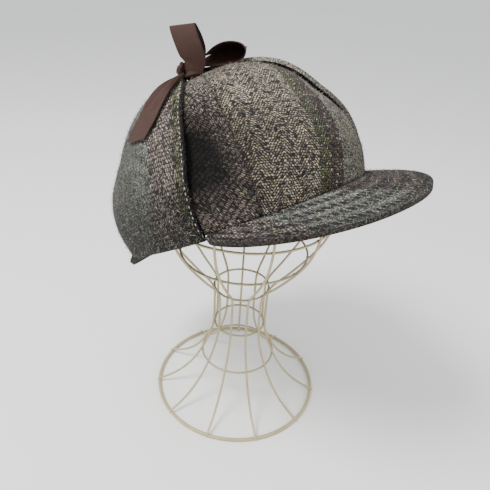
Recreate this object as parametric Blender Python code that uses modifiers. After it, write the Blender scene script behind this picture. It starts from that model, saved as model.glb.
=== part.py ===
"""Deerstalker hat resting on a wire stand, at real size.

Metres, +Z up.  The front peak points along -Y and the wearer's right is -X.
The hat is modelled in its own frame, with its origin at the centre of the rim,
and an empty seats it on the stand, tipped back as it rests there.

Two words are used all over the hat:
    turn   degrees round the crown from the front, positive to the wearer's left
    rise   how far up the crown, 0 at the rim and 1 at the top
"""

import math

import bmesh
import bpy
from mathutils import Matrix, Vector

MM = 0.001

# ---------------------------------------------------------------- sizes: hat
RIM_HALF_WIDTH = 87.5 * MM      # a size 58 hat, measured outside the cloth
RIM_HALF_LENGTH = 104.0 * MM
CROWN_HEIGHT = 105.0 * MM
CROWN_ROUNDNESS = 0.656         # below 1 the sides stand steeper than a ball's
CROWN_BULGE = 0.0585            # the sides swell by this share of their radius
CROWN_BULGE_TOP = 0.625         # the swell ends at this share of the height
CROWN_CLOTH = 2.4 * MM
FLAP_CLOTH = 3.0 * MM
PEAK_CLOTH = 3.2 * MM
SEAM_GAP = 0.4 * MM

# A peak's turn is half its width.  Droop is its fall for each unit of reach,
# side droop is added towards its corners, and curl adds more the further out.
#        middle  turn   reach      droop  side droop  curl  squareness
PEAKS = {
    "front_peak": (0.1, 57.2, 48.0 * MM, 0.36, -0.12, 0.0, 1.9),
    "rear_peak": (180.0, 43.0, 39.0 * MM, 0.24, 0.50, 0.16, 3.0),
}
PEAK_END_POWER = 24             # only its very ends point straight out from the rim
PEAK_TUCK = 1.4 * MM            # how far a peak reaches in under the crown's edge
PEAK_CORNER = 3.6 * MM          # its reach where it runs out at the sides
PEAK_CURL_OVER = 50.0 * MM      # the reach at which a curl of 1 has dropped it as far
PEAK_CROWDING = 1.35            # above 1 its sections crowd towards the corners

# Where the middle of the stand's foot is, so that the origin is under the middle
# of the whole, and how the hat sits on the stand.
STAND_PLACE = (10.1 * MM, 17.9 * MM, 0.0)
HAT_SEAT = (-8.6 * MM, -5.4 * MM, 192.9 * MM)   # centre of the rim
HAT_TIP_BACK = 31.4
HAT_LEAN_RIGHT = 4.0

# Hollows in the crown's sides, where the flaps pull it in.
#    turn   rise  depth      turn spread  rise spread
DENTS = (
    (-47.0, 0.33, 8.0 * MM, 13.0, 0.17),
    (50.0, 0.30, 5.0 * MM, 13.0, 0.17),
    (-30.0, 0.62, 1.6 * MM, 12.0, 0.14),
    (150.0, 0.45, 3.0 * MM, 20.0, 0.20),
)
# Where the tied flaps and their ribbon draw the crown in, flap and all.
PULLS = (
    (-50.0, 0.84, 2.6 * MM, 32.0, 0.12),
    (-122.0, 0.52, 6.0 * MM, 34.0, 0.36),
    (122.0, 0.52, 4.0 * MM, 34.0, 0.36),
)

# Outline of an ear flap that is folded up and tied over the crown.
#    rise  front turn  rear turn  stand-off of the outer face
FLAP_ROWS = (
    (0.00, 57.8, 135.0, 3.6 * MM),
    (0.10, 57.5, 134.5, 3.9 * MM),
    (0.20, 56.3, 133.5, 4.4 * MM),
    (0.30, 54.5, 132.0, 4.8 * MM),
    (0.40, 53.6, 130.0, 4.8 * MM),
    (0.50, 52.9, 127.5, 4.4 * MM),
    (0.60, 51.0, 124.5, 4.1 * MM),
    (0.70, 50.0, 121.0, 3.9 * MM),
    (0.80, 52.5, 118.0, 3.8 * MM),
    (0.88, 58.5, 113.0, 3.8 * MM),
    (0.94, 66.0, 107.0, 3.8 * MM),
    (0.97, 74.0, 103.0, 3.8 * MM),
)
FAR_FLAP_FORWARD = 4.0          # the far flap is pulled this much further forward
FLAP_HEM_DROP = 2.6 * MM        # the folded edge hangs this far below the rim

# ------------------------------------------------------------- sizes: ribbon
RIBBON_WIDTH = 21.0 * MM
RIBBON_CLOTH = 1.0 * MM
KNOT_PLACE = (-12.5 * MM, -4.0 * MM, 113.4 * MM)    # in the hat's frame
KNOT_HALF_SIZE = (5.2 * MM, 5.2 * MM, 4.8 * MM)
BOW_FACING = -42.0              # azimuth that the bow's open side looks to

# Loose ribbon ends and the far flap's ribbon, laid over the crown.  X and y are
# in the hat's frame, and lift is the height over the crown's cloth.
#    x           y           lift       width
NEAR_TAIL = (
    (-16.8 * MM, -5.6 * MM, 5.4 * MM, 4.6 * MM),
    (-24.4 * MM, -17.6 * MM, 5.4 * MM, 5.0 * MM),
    (-32.4 * MM, -28.6 * MM, 5.8 * MM, 5.6 * MM),
    (-41.6 * MM, -33.9 * MM, 6.2 * MM, 10.0 * MM),
    (-51.4 * MM, -31.8 * MM, 6.4 * MM, 18.0 * MM),
    (-60.2 * MM, -28.0 * MM, 6.4 * MM, 21.0 * MM),
    (-66.6 * MM, -23.0 * MM, 6.4 * MM, 21.0 * MM),
    (-74.2 * MM, -12.6 * MM, 6.8 * MM, 21.0 * MM),
)
BACK_TAIL = (
    (-12.8 * MM, 0.4 * MM, 5.0 * MM, 6.5 * MM),
    (-11.4 * MM, 16.0 * MM, 4.4 * MM, 12.0 * MM),
    (-8.4 * MM, 29.4 * MM, 1.6 * MM, 19.0 * MM),
    (-5.0 * MM, 46.0 * MM, 1.0 * MM, 21.0 * MM),
    (-4.6 * MM, 62.0 * MM, 1.0 * MM, 21.0 * MM),
    (-4.8 * MM, 79.0 * MM, 1.2 * MM, 21.0 * MM),
)
FAR_STRAP = (
    (-8.3 * MM, -3.4 * MM, 5.4 * MM, 5.6 * MM),
    (4.0 * MM, -2.0 * MM, 5.1 * MM, 12.0 * MM),
    (16.0 * MM, -1.4 * MM, 5.1 * MM, 18.0 * MM),
    (28.0 * MM, -1.0 * MM, 5.1 * MM, 20.0 * MM),
    (43.0 * MM, -0.6 * MM, 5.1 * MM, 20.0 * MM),
)
TAIL_SLANT = 0.40               # the loose ends are cut slantwise
# The two loops of the bow, as places measured from the knot's middle, the
# ribbon's half width there and its roll: 0 lies level, -90 stands on edge.
#    across      up          away        half width  roll
UPRIGHT_LOOP = (
    (3.4 * MM, 1.0 * MM, -4.9 * MM, 3.9 * MM, -72.0),
    (5.6 * MM, 2.6 * MM, -5.3 * MM, 5.8 * MM, -52.0),
    (8.2 * MM, 5.0 * MM, -5.8 * MM, 8.6 * MM, -24.0),
    (9.0 * MM, 7.9 * MM, -6.2 * MM, 9.7 * MM, -8.0),
    (8.2 * MM, 11.9 * MM, -6.5 * MM, 10.5 * MM, 7.0),
    (5.4 * MM, 18.3 * MM, -6.2 * MM, 10.5 * MM, 13.0),
    (2.1 * MM, 25.9 * MM, -4.6 * MM, 10.5 * MM, 13.0),
    (0.2 * MM, 30.4 * MM, -2.0 * MM, 10.5 * MM, 12.0),
    (0.3 * MM, 31.0 * MM, 1.4 * MM, 10.5 * MM, 12.0),
    (2.3 * MM, 27.4 * MM, 4.2 * MM, 10.5 * MM, 10.0),
    (4.9 * MM, 22.0 * MM, 5.8 * MM, 10.5 * MM, 8.0),
    (7.6 * MM, 14.4 * MM, 6.2 * MM, 10.0 * MM, 4.0),
    (8.6 * MM, 8.8 * MM, 4.6 * MM, 7.2 * MM, -16.0),
    (7.7 * MM, 4.4 * MM, 1.8 * MM, 4.4 * MM, -60.0),
    (5.8 * MM, 1.8 * MM, 0.2 * MM, 2.4 * MM, -82.0),
)
UPRIGHT_LOOP_TURN = -0.42       # its right edge comes this much nearer
# The near edge of the side loop; the far edge is squeezed to the middle line.
#    across      up          away        half width  squeeze
SIDE_LOOP = (
    (5.3 * MM, 0.4 * MM, 1.8 * MM, 2.2 * MM, 0.0),
    (11.5 * MM, 3.0 * MM, 3.4 * MM, 4.5 * MM, 0.4),
    (19.0 * MM, 4.0 * MM, 3.2 * MM, 8.5 * MM, 1.0),
    (27.5 * MM, 4.7 * MM, 3.0 * MM, 10.5 * MM, 1.0),
    (35.5 * MM, 5.9 * MM, 3.0 * MM, 10.5 * MM, 1.0),
    (42.4 * MM, 8.9 * MM, 3.0 * MM, 10.5 * MM, 1.0),
    (45.8 * MM, 14.6 * MM, 3.0 * MM, 10.5 * MM, 1.0),
    (43.6 * MM, 20.0 * MM, 3.0 * MM, 10.5 * MM, 1.0),
    (37.2 * MM, 22.0 * MM, 3.0 * MM, 10.5 * MM, 1.0),
    (29.0 * MM, 21.0 * MM, 3.0 * MM, 10.5 * MM, 1.0),
    (22.0 * MM, 17.2 * MM, 3.0 * MM, 9.5 * MM, 1.0),
    (16.4 * MM, 11.6 * MM, 4.2 * MM, 6.5 * MM, 0.8),
    (11.0 * MM, 6.2 * MM, 5.4 * MM, 3.5 * MM, 0.3),
    (5.6 * MM, 2.6 * MM, 4.8 * MM, 2.0 * MM, 0.0),
)
SIDE_LOOP_MIDDLE = (4.4 * MM, 0.26)     # its middle line's height at the knot, and slope
SIDE_LOOP_PINCH = 0.12

# -------------------------------------------------------------- sizes: stand
RIB_COUNT = 11
FIRST_RIB_ANGLE = 244.4
RIB_WIRE = 1.0 * MM             # radius
BASE_WIRE = 1.5 * MM
RING_WIRE = 0.95 * MM
WELD_DEPTH = 0.6 * MM           # how far crossing wires sink into each other
BASE_RADIUS = 75.0 * MM
BASE_SECTIONS = 33
BASE_SIDES = 6                  # the base ring rests on a flat side of its wire
RING_SIDES = 5
# The line of a rib, from the foot up; a ring of so many sections crosses it there.
#    radius     height      ring
RIB_PROFILE = (
    (76.6 * MM, 2.5 * MM, 0),
    (58.6 * MM, 11.6 * MM, 0),
    (44.5 * MM, 25.0 * MM, 0),
    (34.7 * MM, 40.9 * MM, 22),
    (27.4 * MM, 58.0 * MM, 0),
    (23.9 * MM, 74.5 * MM, 22),
    (23.6 * MM, 95.0 * MM, 0),
    (25.4 * MM, 114.4 * MM, 22),
    (39.6 * MM, 132.0 * MM, 0),
    (55.1 * MM, 151.7 * MM, 33),
    (66.4 * MM, 170.5 * MM, 0),
    (72.5 * MM, 190.2 * MM, 33),
    (73.8 * MM, 210.0 * MM, 0),
    (71.6 * MM, 229.0 * MM, 0),
    (65.1 * MM, 248.0 * MM, 0),
    (54.2 * MM, 264.5 * MM, 0),
    (36.5 * MM, 280.5 * MM, 0),
    (14.6 * MM, 291.5 * MM, 22),
)

SHARP_ANGLE = math.radians(40.0)    # steeper edges than this stay sharp
MERGE_REACH = 0.01 * MM

# ------------------------------------------------------------------- colours
#                 colour                 roughness  metallic
MATERIALS = {
    "tweed": ((0.19, 0.17, 0.16, 1.0), 0.95, 0.0),
    "ribbon": ((0.11, 0.07, 0.06, 1.0), 0.55, 0.0),
    "painted_wire": ((0.62, 0.57, 0.42, 1.0), 0.45, 0.0),
}


# ------------------------------------------------------------------- helpers
def clear_scene():
    for old in list(bpy.data.objects):
        bpy.data.objects.remove(old, do_unlink=True)


def make_material(name):
    colour, roughness, metallic = MATERIALS[name]
    material = bpy.data.materials.new(name)
    material.use_nodes = True
    shader = material.node_tree.nodes["Principled BSDF"]
    shader.inputs["Base Color"].default_value = colour
    shader.inputs["Roughness"].default_value = roughness
    shader.inputs["Metallic"].default_value = metallic
    return material


def new_object(name, mesh, collection, material, parent):
    body = bpy.data.objects.new(name, mesh)
    collection.objects.link(body)
    body.data.materials.append(material)
    body.parent = parent
    for face in mesh.polygons:
        face.use_smooth = True
    mesh.set_sharp_from_angle(angle=SHARP_ANGLE)
    return body


def thicken(body, thickness, offset):
    """Give an open sheet its cloth; offset -1 keeps the outer face."""
    solidify = body.modifiers.new("cloth", "SOLIDIFY")
    solidify.thickness = thickness
    solidify.offset = offset
    solidify.use_even_offset = True


def sheet_mesh(name, rows, closed=False, top=None):
    """Join rows of points into one open sheet, its faces looking outward."""
    bm = bmesh.new()
    grid = [[bm.verts.new(point) for point in row] for row in rows]
    across = len(grid[0])
    for low, high in zip(grid, grid[1:]):
        for i in range(across if closed else across - 1):
            j = (i + 1) % across
            bm.faces.new((low[i], low[j], high[j], high[i]))
    if top is not None:
        apex = bm.verts.new(top)
        last = grid[-1]
        for i in range(across):
            bm.faces.new((last[i], last[(i + 1) % across], apex))
    mesh = bpy.data.meshes.new(name)
    bm.to_mesh(mesh)
    bm.free()
    return mesh


def steps(low, high, count):
    return [low + (high - low) * i / count for i in range(count + 1)]


def table_value(rows, key, column):
    """Smoothly read a column of a table whose first column is the key."""
    keys = [row[0] for row in rows]
    rising = keys[-1] > keys[0]
    i = 0
    while i < len(rows) - 2 and (key > keys[i + 1]) == rising and key != keys[i + 1]:
        i += 1
    share = (key - keys[i]) / (keys[i + 1] - keys[i])
    return curve_value([row[column] for row in rows], i, share)


def curve_value(values, i, share):
    """Catmull-Rom curve through values, between the i-th and the next one."""
    before = values[max(i - 1, 0)]
    start = values[i]
    end = values[i + 1]
    after = values[min(i + 2, len(values) - 1)]
    slope_start = (end - before) / 2
    slope_end = (after - start) / 2
    square = share * share
    cube = square * share
    return ((2 * cube - 3 * square + 1) * start + (cube - 2 * square + share) * slope_start
            + (3 * square - 2 * cube) * end + (cube - square) * slope_end)


def smooth_path(points, pieces):
    """Points at even steps of a smooth curve through the given points."""
    path = []
    spans = len(points) - 1
    for i in range(pieces + 1):
        place = spans * i / pieces
        span = min(int(place), spans - 1)
        path.append(Vector([curve_value([point[axis] for point in points], span, place - span)
                            for axis in range(3)]))
    return path


# --------------------------------------------------------------- crown shape
def crown_radius_share(rise):
    """Radius of the crown at a rise, as a share of the rim's."""
    lean = math.radians(90.0 * rise)
    height_share = min(math.sin(lean) / CROWN_BULGE_TOP, 1.0)
    swell = 1.0 + CROWN_BULGE * math.sin(math.pi * max(height_share, 0.0))
    return max(math.cos(lean), 0.0) ** CROWN_ROUNDNESS * swell


def hollow_depth(hollow, turn, rise):
    middle_turn, middle_rise, deepest, turn_spread, rise_spread = hollow
    side = (turn - middle_turn + 180.0) % 360.0 - 180.0
    distance = (side / turn_spread) ** 2 + ((rise - middle_rise) / rise_spread) ** 2
    return deepest * math.exp(-distance)


def plain_crown(turn, rise):
    share = crown_radius_share(max(rise, 0.0))
    angle = math.radians(turn)
    return Vector((RIM_HALF_WIDTH * share * math.sin(angle),
                   -RIM_HALF_LENGTH * share * math.cos(angle),
                   CROWN_HEIGHT * math.sin(math.radians(90.0 * rise))))


def crown_normal(turn, rise):
    """Outward direction of the crown without its dents."""
    small = 0.01
    rise = min(max(rise, small), 1.0 - 2 * small)
    along = plain_crown(turn + 1.0, rise) - plain_crown(turn - 1.0, rise)
    upward = plain_crown(turn, rise + small) - plain_crown(turn, rise - small)
    return along.cross(upward).normalized()


def crown_point(turn, rise, lift=0.0):
    """A place on the crown, or that far off it, where the cloth isn't dented."""
    lift -= sum(hollow_depth(pull, turn, rise) for pull in PULLS)
    return plain_crown(turn, rise) + crown_normal(turn, rise) * lift


def dent_depth(turn, rise):
    return sum(hollow_depth(dent, turn, rise) for dent in DENTS)


# ------------------------------------------------------------ hat: the pieces
def make_crown(collection, material, hat):
    """The crown is one dented dome of cloth, open at the rim."""
    turns = steps(0.0, 360.0, 36)[:-1]
    rises = [0.0, 0.05, 0.12, 0.19, 0.26, 0.33, 0.40, 0.48, 0.57, 0.67, 0.78, 0.90]
    rows = [[crown_point(turn, rise, -dent_depth(turn, rise)) for turn in turns]
            for rise in rises]
    mesh = sheet_mesh("crown", rows, closed=True, top=(0.0, 0.0, CROWN_HEIGHT))
    crown = new_object("crown", mesh, collection, material, hat)
    thicken(crown, CROWN_CLOTH, -1.0)


def peak_rows(middle, half_turn, reach, droop, side_droop, curl, squareness):
    """Rows of a peak, from its seam under the crown's edge to its outer edge."""
    across = 24
    outward = 4
    ahead = -math.cos(math.radians(middle))
    rows = []
    for j in range(outward + 1):
        row = []
        for i in range(across + 1):
            share = 2.0 * i / across - 1.0
            share = math.copysign(1.0 - (1.0 - abs(share)) ** PEAK_CROWDING, share)
            turn = math.radians(middle + half_turn * share)
            seam = Vector((RIM_HALF_WIDTH * math.sin(turn),
                           -RIM_HALF_LENGTH * math.cos(turn), -SEAM_GAP))
            out = Vector((math.sin(turn) / RIM_HALF_WIDTH,
                          -math.cos(turn) / RIM_HALF_LENGTH, 0.0)).normalized()
            forward = ahead * (1.0 - abs(share) ** PEAK_END_POWER)
            out = Vector((out.x, out.y + forward, 0.0)).normalized()
            width = max(reach * max(1.0 - abs(share) ** squareness, 0.0) ** 0.5, PEAK_CORNER)
            distance = (width + PEAK_TUCK) * j / outward - PEAK_TUCK
            clear = max(distance, 0.0)
            side = (seam.x / RIM_HALF_WIDTH) ** 2
            fall = (droop + side_droop * side) * clear + curl * clear ** 2 / PEAK_CURL_OVER
            row.append(seam + out * distance - Vector((0.0, 0.0, fall)))
        rows.append(row[::-1])
    return rows


def make_peak(name, collection, material, hat):
    mesh = sheet_mesh(name, peak_rows(*PEAKS[name]))
    peak = new_object(name, mesh, collection, material, hat)
    thicken(peak, PEAK_CLOTH, -1.0)


def flap_point(side, rise, share):
    """A point on a flap's outer face; share runs from its front edge to its rear one."""
    front = table_value(FLAP_ROWS, rise, 1)
    if side > 0:
        front -= FAR_FLAP_FORWARD * math.sin(math.pi * rise)
    rear = table_value(FLAP_ROWS, rise, 2)
    lift = table_value(FLAP_ROWS, rise, 3)
    return crown_point(side * (front + (rear - front) * share), rise, lift)


def make_flap(name, side, collection, material, hat):
    """An ear flap hugs the side of the crown, from its fold at the rim to its tip."""
    shares = steps(0.0, 1.0, 12)
    if side > 0:
        shares.reverse()
    rises = steps(0.0, FLAP_ROWS[-1][0], 14)
    hem = [flap_point(side, 0.0, share) - Vector((0.0, 0.0, FLAP_HEM_DROP)) for share in shares]
    rows = [hem] + [[flap_point(side, rise, share) for share in shares] for rise in rises]
    mesh = sheet_mesh(name, [row[::-1] for row in rows])
    flap = new_object(name, mesh, collection, material, hat)
    thicken(flap, FLAP_CLOTH, -1.0)


# ------------------------------------------------------------------- ribbons
def make_ribbon(name, rows, collection, material, parent):
    mesh = sheet_mesh(name, rows)
    ribbon = new_object(name, mesh, collection, material, parent)
    thicken(ribbon, RIBBON_CLOTH, 0.0)


def over_crown(x, y, lift):
    """The place at a height over the crown's upper half, above x and y."""
    turn = math.degrees(math.atan2(x / RIM_HALF_WIDTH, -y / RIM_HALF_LENGTH))
    share = math.hypot(x / RIM_HALF_WIDTH, y / RIM_HALF_LENGTH)
    rise = math.degrees(math.acos(share ** (1.0 / CROWN_ROUNDNESS))) / 90.0
    return crown_point(turn, rise, lift)


def hat_up_at(place):
    """Outward direction of the crown near a place."""
    return Vector((place.x / RIM_HALF_WIDTH ** 2, place.y / RIM_HALF_LENGTH ** 2,
                   place.z / CROWN_HEIGHT ** 2)).normalized()


def lying_ribbon_rows(table, pieces, slant=0.0):
    """A ribbon laid over the crown; a slant cuts its loose end at an angle."""
    ways = [(row[0], row[1], row[2]) for row in table]
    rows = []
    spans = len(table) - 1
    length = sum(math.dist(a[:2], b[:2]) for a, b in zip(table, table[1:]))
    for i in range(pieces + 1):
        row = []
        for share in (-0.5, -0.25, 0.0, 0.25, 0.5):
            along = i / pieces * (1.0 - slant * (0.5 - share) * RIBBON_WIDTH / length)
            span = min(int(spans * along), spans - 1)
            way_on = spans * along - span
            here, ahead = (
                over_crown(*[curve_value([way[axis] for way in ways], span, way_on + step)
                             for axis in range(3)])
                for step in (0.0, 0.1))
            width = curve_value([line[3] for line in table], span, way_on)
            up = hat_up_at(here)
            row.append(here + (ahead - here).cross(up).normalized() * width * share)
        rows.append(row)
    return rows


def bow_axes():
    """Across, up and away, as seen by someone who looks at the bow."""
    azimuth = math.radians(BOW_FACING)
    across = Vector((math.cos(azimuth), math.sin(azimuth), 0.0))
    away = Vector((-math.sin(azimuth), math.cos(azimuth), 0.0))
    return Matrix((across, Vector((0.0, 0.0, 1.0)), away)).transposed()


def bow_rows(rows):
    """Move rows of points from the bow's own axes to where the knot is."""
    knot = hat_matrix() @ Vector(KNOT_PLACE)
    axes = bow_axes()
    return [[knot + axes @ place for place in row] for row in rows]


def upright_loop_rows():
    """The loop that stands up: a band that fans out from the knot and returns."""
    pieces = 30
    path = smooth_path([row[:3] for row in UPRIGHT_LOOP], pieces)
    spreads = smooth_path([(row[3], row[4], 0.0) for row in UPRIGHT_LOOP], pieces)
    rows = []
    for place, (half_width, roll, _) in zip(path, spreads):
        roll = math.radians(roll)
        side = Vector((math.cos(roll), math.sin(roll), UPRIGHT_LOOP_TURN * math.cos(roll))).normalized()
        rows.append([place + side * half_width * share for share in (-1.0, 0.0, 1.0)])
    return bow_rows(rows)


def side_loop_rows():
    """The loop that lies to the side: open towards the front, pinched behind."""
    pieces = 28
    path = smooth_path([row[:3] for row in SIDE_LOOP], pieces)
    spreads = smooth_path([(row[3], row[4], 0.0) for row in SIDE_LOOP], pieces)
    start, slope = SIDE_LOOP_MIDDLE
    rows = []
    for place, (half_width, pinched, _) in zip(path, spreads):
        middle = start + slope * place.x
        row = []
        for share in (0.0, 0.5, 1.0):
            squeeze = 1.0 - pinched * (1.0 - SIDE_LOOP_PINCH) * share ** 2
            row.append(Vector((place.x, middle + (place.y - middle) * squeeze,
                               place.z + 2.0 * half_width * share)))
        rows.append(row)
    return bow_rows(rows)


def make_knot(collection, material, hat):
    bpy.ops.mesh.primitive_uv_sphere_add(segments=12, ring_count=8, radius=1.0)
    ball = bpy.context.object
    mesh = ball.data.copy()
    bpy.data.objects.remove(ball, do_unlink=True)
    mesh.transform(Matrix.Diagonal((*KNOT_HALF_SIZE, 1.0)))
    knot = new_object("ribbon_knot", mesh, collection, material, hat)
    knot.location = KNOT_PLACE


def make_ribbons(collection, material, hat, foot):
    make_knot(collection, material, hat)
    make_ribbon("ribbon_tail_near", lying_ribbon_rows(NEAR_TAIL, 18, TAIL_SLANT),
                collection, material, hat)
    make_ribbon("ribbon_tail_back", lying_ribbon_rows(BACK_TAIL, 14, TAIL_SLANT),
                collection, material, hat)
    make_ribbon("ribbon_strap_far", lying_ribbon_rows(FAR_STRAP, 10),
                collection, material, hat)
    make_ribbon("bow_loop_upright", upright_loop_rows(), collection, material, foot)
    make_ribbon("bow_loop_side", side_loop_rows(), collection, material, foot)


# --------------------------------------------------------------------- stand
def make_rib(index, collection):
    """One bent wire, from the base ring up round the head cage to the top ring."""
    angle = math.radians(FIRST_RIB_ANGLE + 360.0 * index / RIB_COUNT)
    curve = bpy.data.curves.new(f"rib_{index}", "CURVE")
    curve.dimensions = "3D"
    curve.bevel_depth = RIB_WIRE
    curve.bevel_resolution = 1
    curve.use_fill_caps = True
    spline = curve.splines.new("POLY")
    spline.points.add(len(RIB_PROFILE) - 1)
    for point, (radius, height, _) in zip(spline.points, RIB_PROFILE):
        point.co = (radius * math.cos(angle), radius * math.sin(angle), height, 1.0)
    wire = bpy.data.objects.new(curve.name, curve)
    collection.objects.link(wire)
    bpy.context.view_layer.update()
    mesh = bpy.data.meshes.new_from_object(wire.evaluated_get(bpy.context.evaluated_depsgraph_get()))
    bpy.data.objects.remove(wire, do_unlink=True)
    bm = bmesh.new()
    bm.from_mesh(mesh)
    bmesh.ops.remove_doubles(bm, verts=bm.verts, dist=MERGE_REACH)
    bmesh.ops.recalc_face_normals(bm, faces=bm.faces)
    bm.to_mesh(mesh)
    bm.free()
    solid = bpy.data.objects.new(f"rib_{index}", mesh)
    collection.objects.link(solid)


def ring_place(number):
    """Radius and height of a ring that lies against the ribs' inner side."""
    radius, height, _ = RIB_PROFILE[number]
    below = RIB_PROFILE[number - 1]
    above = RIB_PROFILE[min(number + 1, len(RIB_PROFILE) - 1)]
    run = Vector((above[0] - below[0], above[1] - below[1])).normalized()
    inward = RIB_WIRE + RING_WIRE - WELD_DEPTH
    return radius - run.y * inward, height + run.x * inward


def make_ring(name, radius, height, wire, sections, sides, collection):
    bpy.ops.mesh.primitive_torus_add(major_radius=radius, minor_radius=wire,
                                     major_segments=sections, minor_segments=sides)
    ring = bpy.context.object
    mesh = ring.data.copy()
    bpy.data.objects.remove(ring, do_unlink=True)
    mesh.transform(Matrix.Translation((0.0, 0.0, height))
                   @ Matrix.Rotation(math.radians(FIRST_RIB_ANGLE), 4, "Z"))
    solid = bpy.data.objects.new(name, mesh)
    collection.objects.link(solid)
    return solid


def make_stand(collection, cutters, material, foot):
    """Ribs and rings of wire, welded where they cross into one body."""
    base_height = BASE_WIRE * math.cos(math.pi / BASE_SIDES)
    base = make_ring("base_ring", BASE_RADIUS, base_height, BASE_WIRE, BASE_SECTIONS, BASE_SIDES,
                     cutters)
    bodies = bpy.data.collections.new("stand_wires")
    cutters.children.link(bodies)
    for index in range(RIB_COUNT):
        make_rib(index, bodies)
    for number, (_, _, sections) in enumerate(RIB_PROFILE):
        if sections:
            radius, height = ring_place(number)
            make_ring(f"ring_{number}", radius, height, RING_WIRE, sections, RING_SIDES, bodies)
    for wire in bodies.objects:
        wire.parent = foot
        wire.hide_render = True
        wire.display_type = "WIRE"
    stand = new_object("wire_stand", base.data, collection, material, foot)
    bpy.data.objects.remove(base, do_unlink=True)
    weld = stand.modifiers.new("weld", "BOOLEAN")
    weld.operation = "UNION"
    weld.operand_type = "COLLECTION"
    weld.collection = bodies
    weld.solver = "EXACT"
    weld.use_self = True


# ---------------------------------------------------------------------- main
def hat_matrix():
    """Place and tilt of the hat's own frame, seen from the stand's foot."""
    return (Matrix.Translation(HAT_SEAT)
            @ Matrix.Rotation(math.radians(-HAT_TIP_BACK), 4, "X")
            @ Matrix.Rotation(math.radians(-HAT_LEAN_RIGHT), 4, "Y"))


def make_part():
    clear_scene()
    parts = bpy.data.collections.new("deerstalker_on_stand")
    cutters = bpy.data.collections.new("cutters")
    bpy.context.scene.collection.children.link(parts)
    bpy.context.scene.collection.children.link(cutters)
    tweed = make_material("tweed")
    ribbon = make_material("ribbon")
    painted_wire = make_material("painted_wire")

    foot = bpy.data.objects.new("foot_frame", None)
    foot.location = STAND_PLACE
    hat = bpy.data.objects.new("hat_frame", None)
    hat.matrix_world = hat_matrix()
    hat.parent = foot
    for frame in (foot, hat):
        parts.objects.link(frame)
    make_crown(parts, tweed, hat)
    for name in PEAKS:
        make_peak(name, parts, tweed, hat)
    make_flap("ear_flap_right", -1, parts, tweed, hat)
    make_flap("ear_flap_left", 1, parts, tweed, hat)
    make_ribbons(parts, ribbon, hat, foot)
    make_stand(parts, cutters, painted_wire, foot)


make_part()
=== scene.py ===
"""Deerstalker hat on a wire stand: its tweed, its ribbon bow and its painted wire.

Metres, +Z up.  The front peak points along -Y and the wearer's right is -X.
Two words are used all over the hat:
    turn   degrees round the crown from the front, positive to the wearer's left
    rise   how far up the crown, 0 at the rim and 1 at the top
Places on the cloth are kept on each mesh in millimetres, in attributes:
    cloth  across the yarns, along the yarns, and the way to the nearest seam
    check  the same two ways through the bands of colour, and the way to the edge
    look   share of pale yarn there, painted light and shade (how much light the folds let in), and 1 if quilted
"""

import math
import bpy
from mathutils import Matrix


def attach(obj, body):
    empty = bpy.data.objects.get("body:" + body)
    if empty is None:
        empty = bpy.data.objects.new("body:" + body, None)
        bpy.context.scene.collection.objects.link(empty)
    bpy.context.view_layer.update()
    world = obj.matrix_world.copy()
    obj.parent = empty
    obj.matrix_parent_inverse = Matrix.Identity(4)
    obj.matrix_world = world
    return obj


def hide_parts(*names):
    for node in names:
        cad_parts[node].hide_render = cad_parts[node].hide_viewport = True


bl_info = {
    "name": "Deerstalker Hat on a Wire Stand",
    "version": (1, 0, 0),
    "blender": (4, 5, 0),
    "location": "3D View > Sidebar > Hat",
    "description": "Builds a tweed deerstalker hat, its ribbon bow and the wire stand under it",
    "category": "Object",
}

import bmesh
import bpy
import numpy as np
from mathutils import Matrix, Vector

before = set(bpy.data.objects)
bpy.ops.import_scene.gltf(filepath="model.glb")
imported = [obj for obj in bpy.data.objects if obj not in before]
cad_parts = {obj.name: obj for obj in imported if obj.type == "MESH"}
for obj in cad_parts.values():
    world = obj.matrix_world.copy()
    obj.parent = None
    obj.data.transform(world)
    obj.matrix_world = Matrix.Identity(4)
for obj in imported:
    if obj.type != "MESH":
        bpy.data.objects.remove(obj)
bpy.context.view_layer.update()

MM = 0.001


def millimetres(rows, lengths=4):
    """A table in metres, from one with its first columns in millimetres."""
    table = np.array(rows, float)
    table[:, :lengths] *= MM
    return table


# ---- sizes: hat
RIM_HALF_WIDTH = 87.5 * MM
RIM_HALF_LENGTH = 104.0 * MM
CROWN_HEIGHT = 105.0 * MM
CROWN_ROUNDNESS = 0.656         # below 1 the sides stand steeper than a ball's
CROWN_BULGE = 0.0585
CROWN_BULGE_TOP = 0.625
CROWN_CLOTH = 2.4 * MM
FLAP_CLOTH = 3.0 * MM
PEAK_CLOTH = 3.2 * MM
SEAM_GAP = 0.4 * MM
CROWN_SWELL = 0.5 * MM          # how far the cloth waves out where it is soft
FLAP_SWELL = 0.6 * MM
PEAK_SWELL = 0.35 * MM
WOOL_LENGTH = 5.0 * MM
WOOL_HALF_WIDTH = 0.07 * MM
GORES = 6                       # the crown is sewn from six panels
FIRST_SEAM = -35.0              # turn of the seam that shows in front of the near flap
CROWN_COLUMNS = 216
CROWN_ROWS = 84
CROWN_TOP = 0.995               # rise of the small hole that is closed last

STAND_PLACE = (10.1 * MM, 17.9 * MM, 0.0)
HAT_SEAT = (-8.6 * MM, -5.4 * MM, 192.9 * MM)
HAT_TIP_BACK = 31.4
HAT_LEAN_RIGHT = 4.0

#        middle  turn   reach      droop  side droop  curl  squareness
PEAKS = {
    "front_peak": (0.1, 57.2, 48.0 * MM, 0.36, -0.12, 0.0, 1.9),
    "rear_peak": (180.0, 43.0, 39.0 * MM, 0.24, 0.50, 0.16, 3.0),
}
PEAK_END_POWER = 24
PEAK_TUCK = 1.4 * MM
PEAK_CORNER = 3.6 * MM
PEAK_CURL_REACH = 50.0 * MM
PEAK_CROWDING = 1.35            # above 1 the grid's columns crowd towards the peak's ends
PEAK_COLUMNS = 110
PEAK_ROWS = 22

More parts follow.
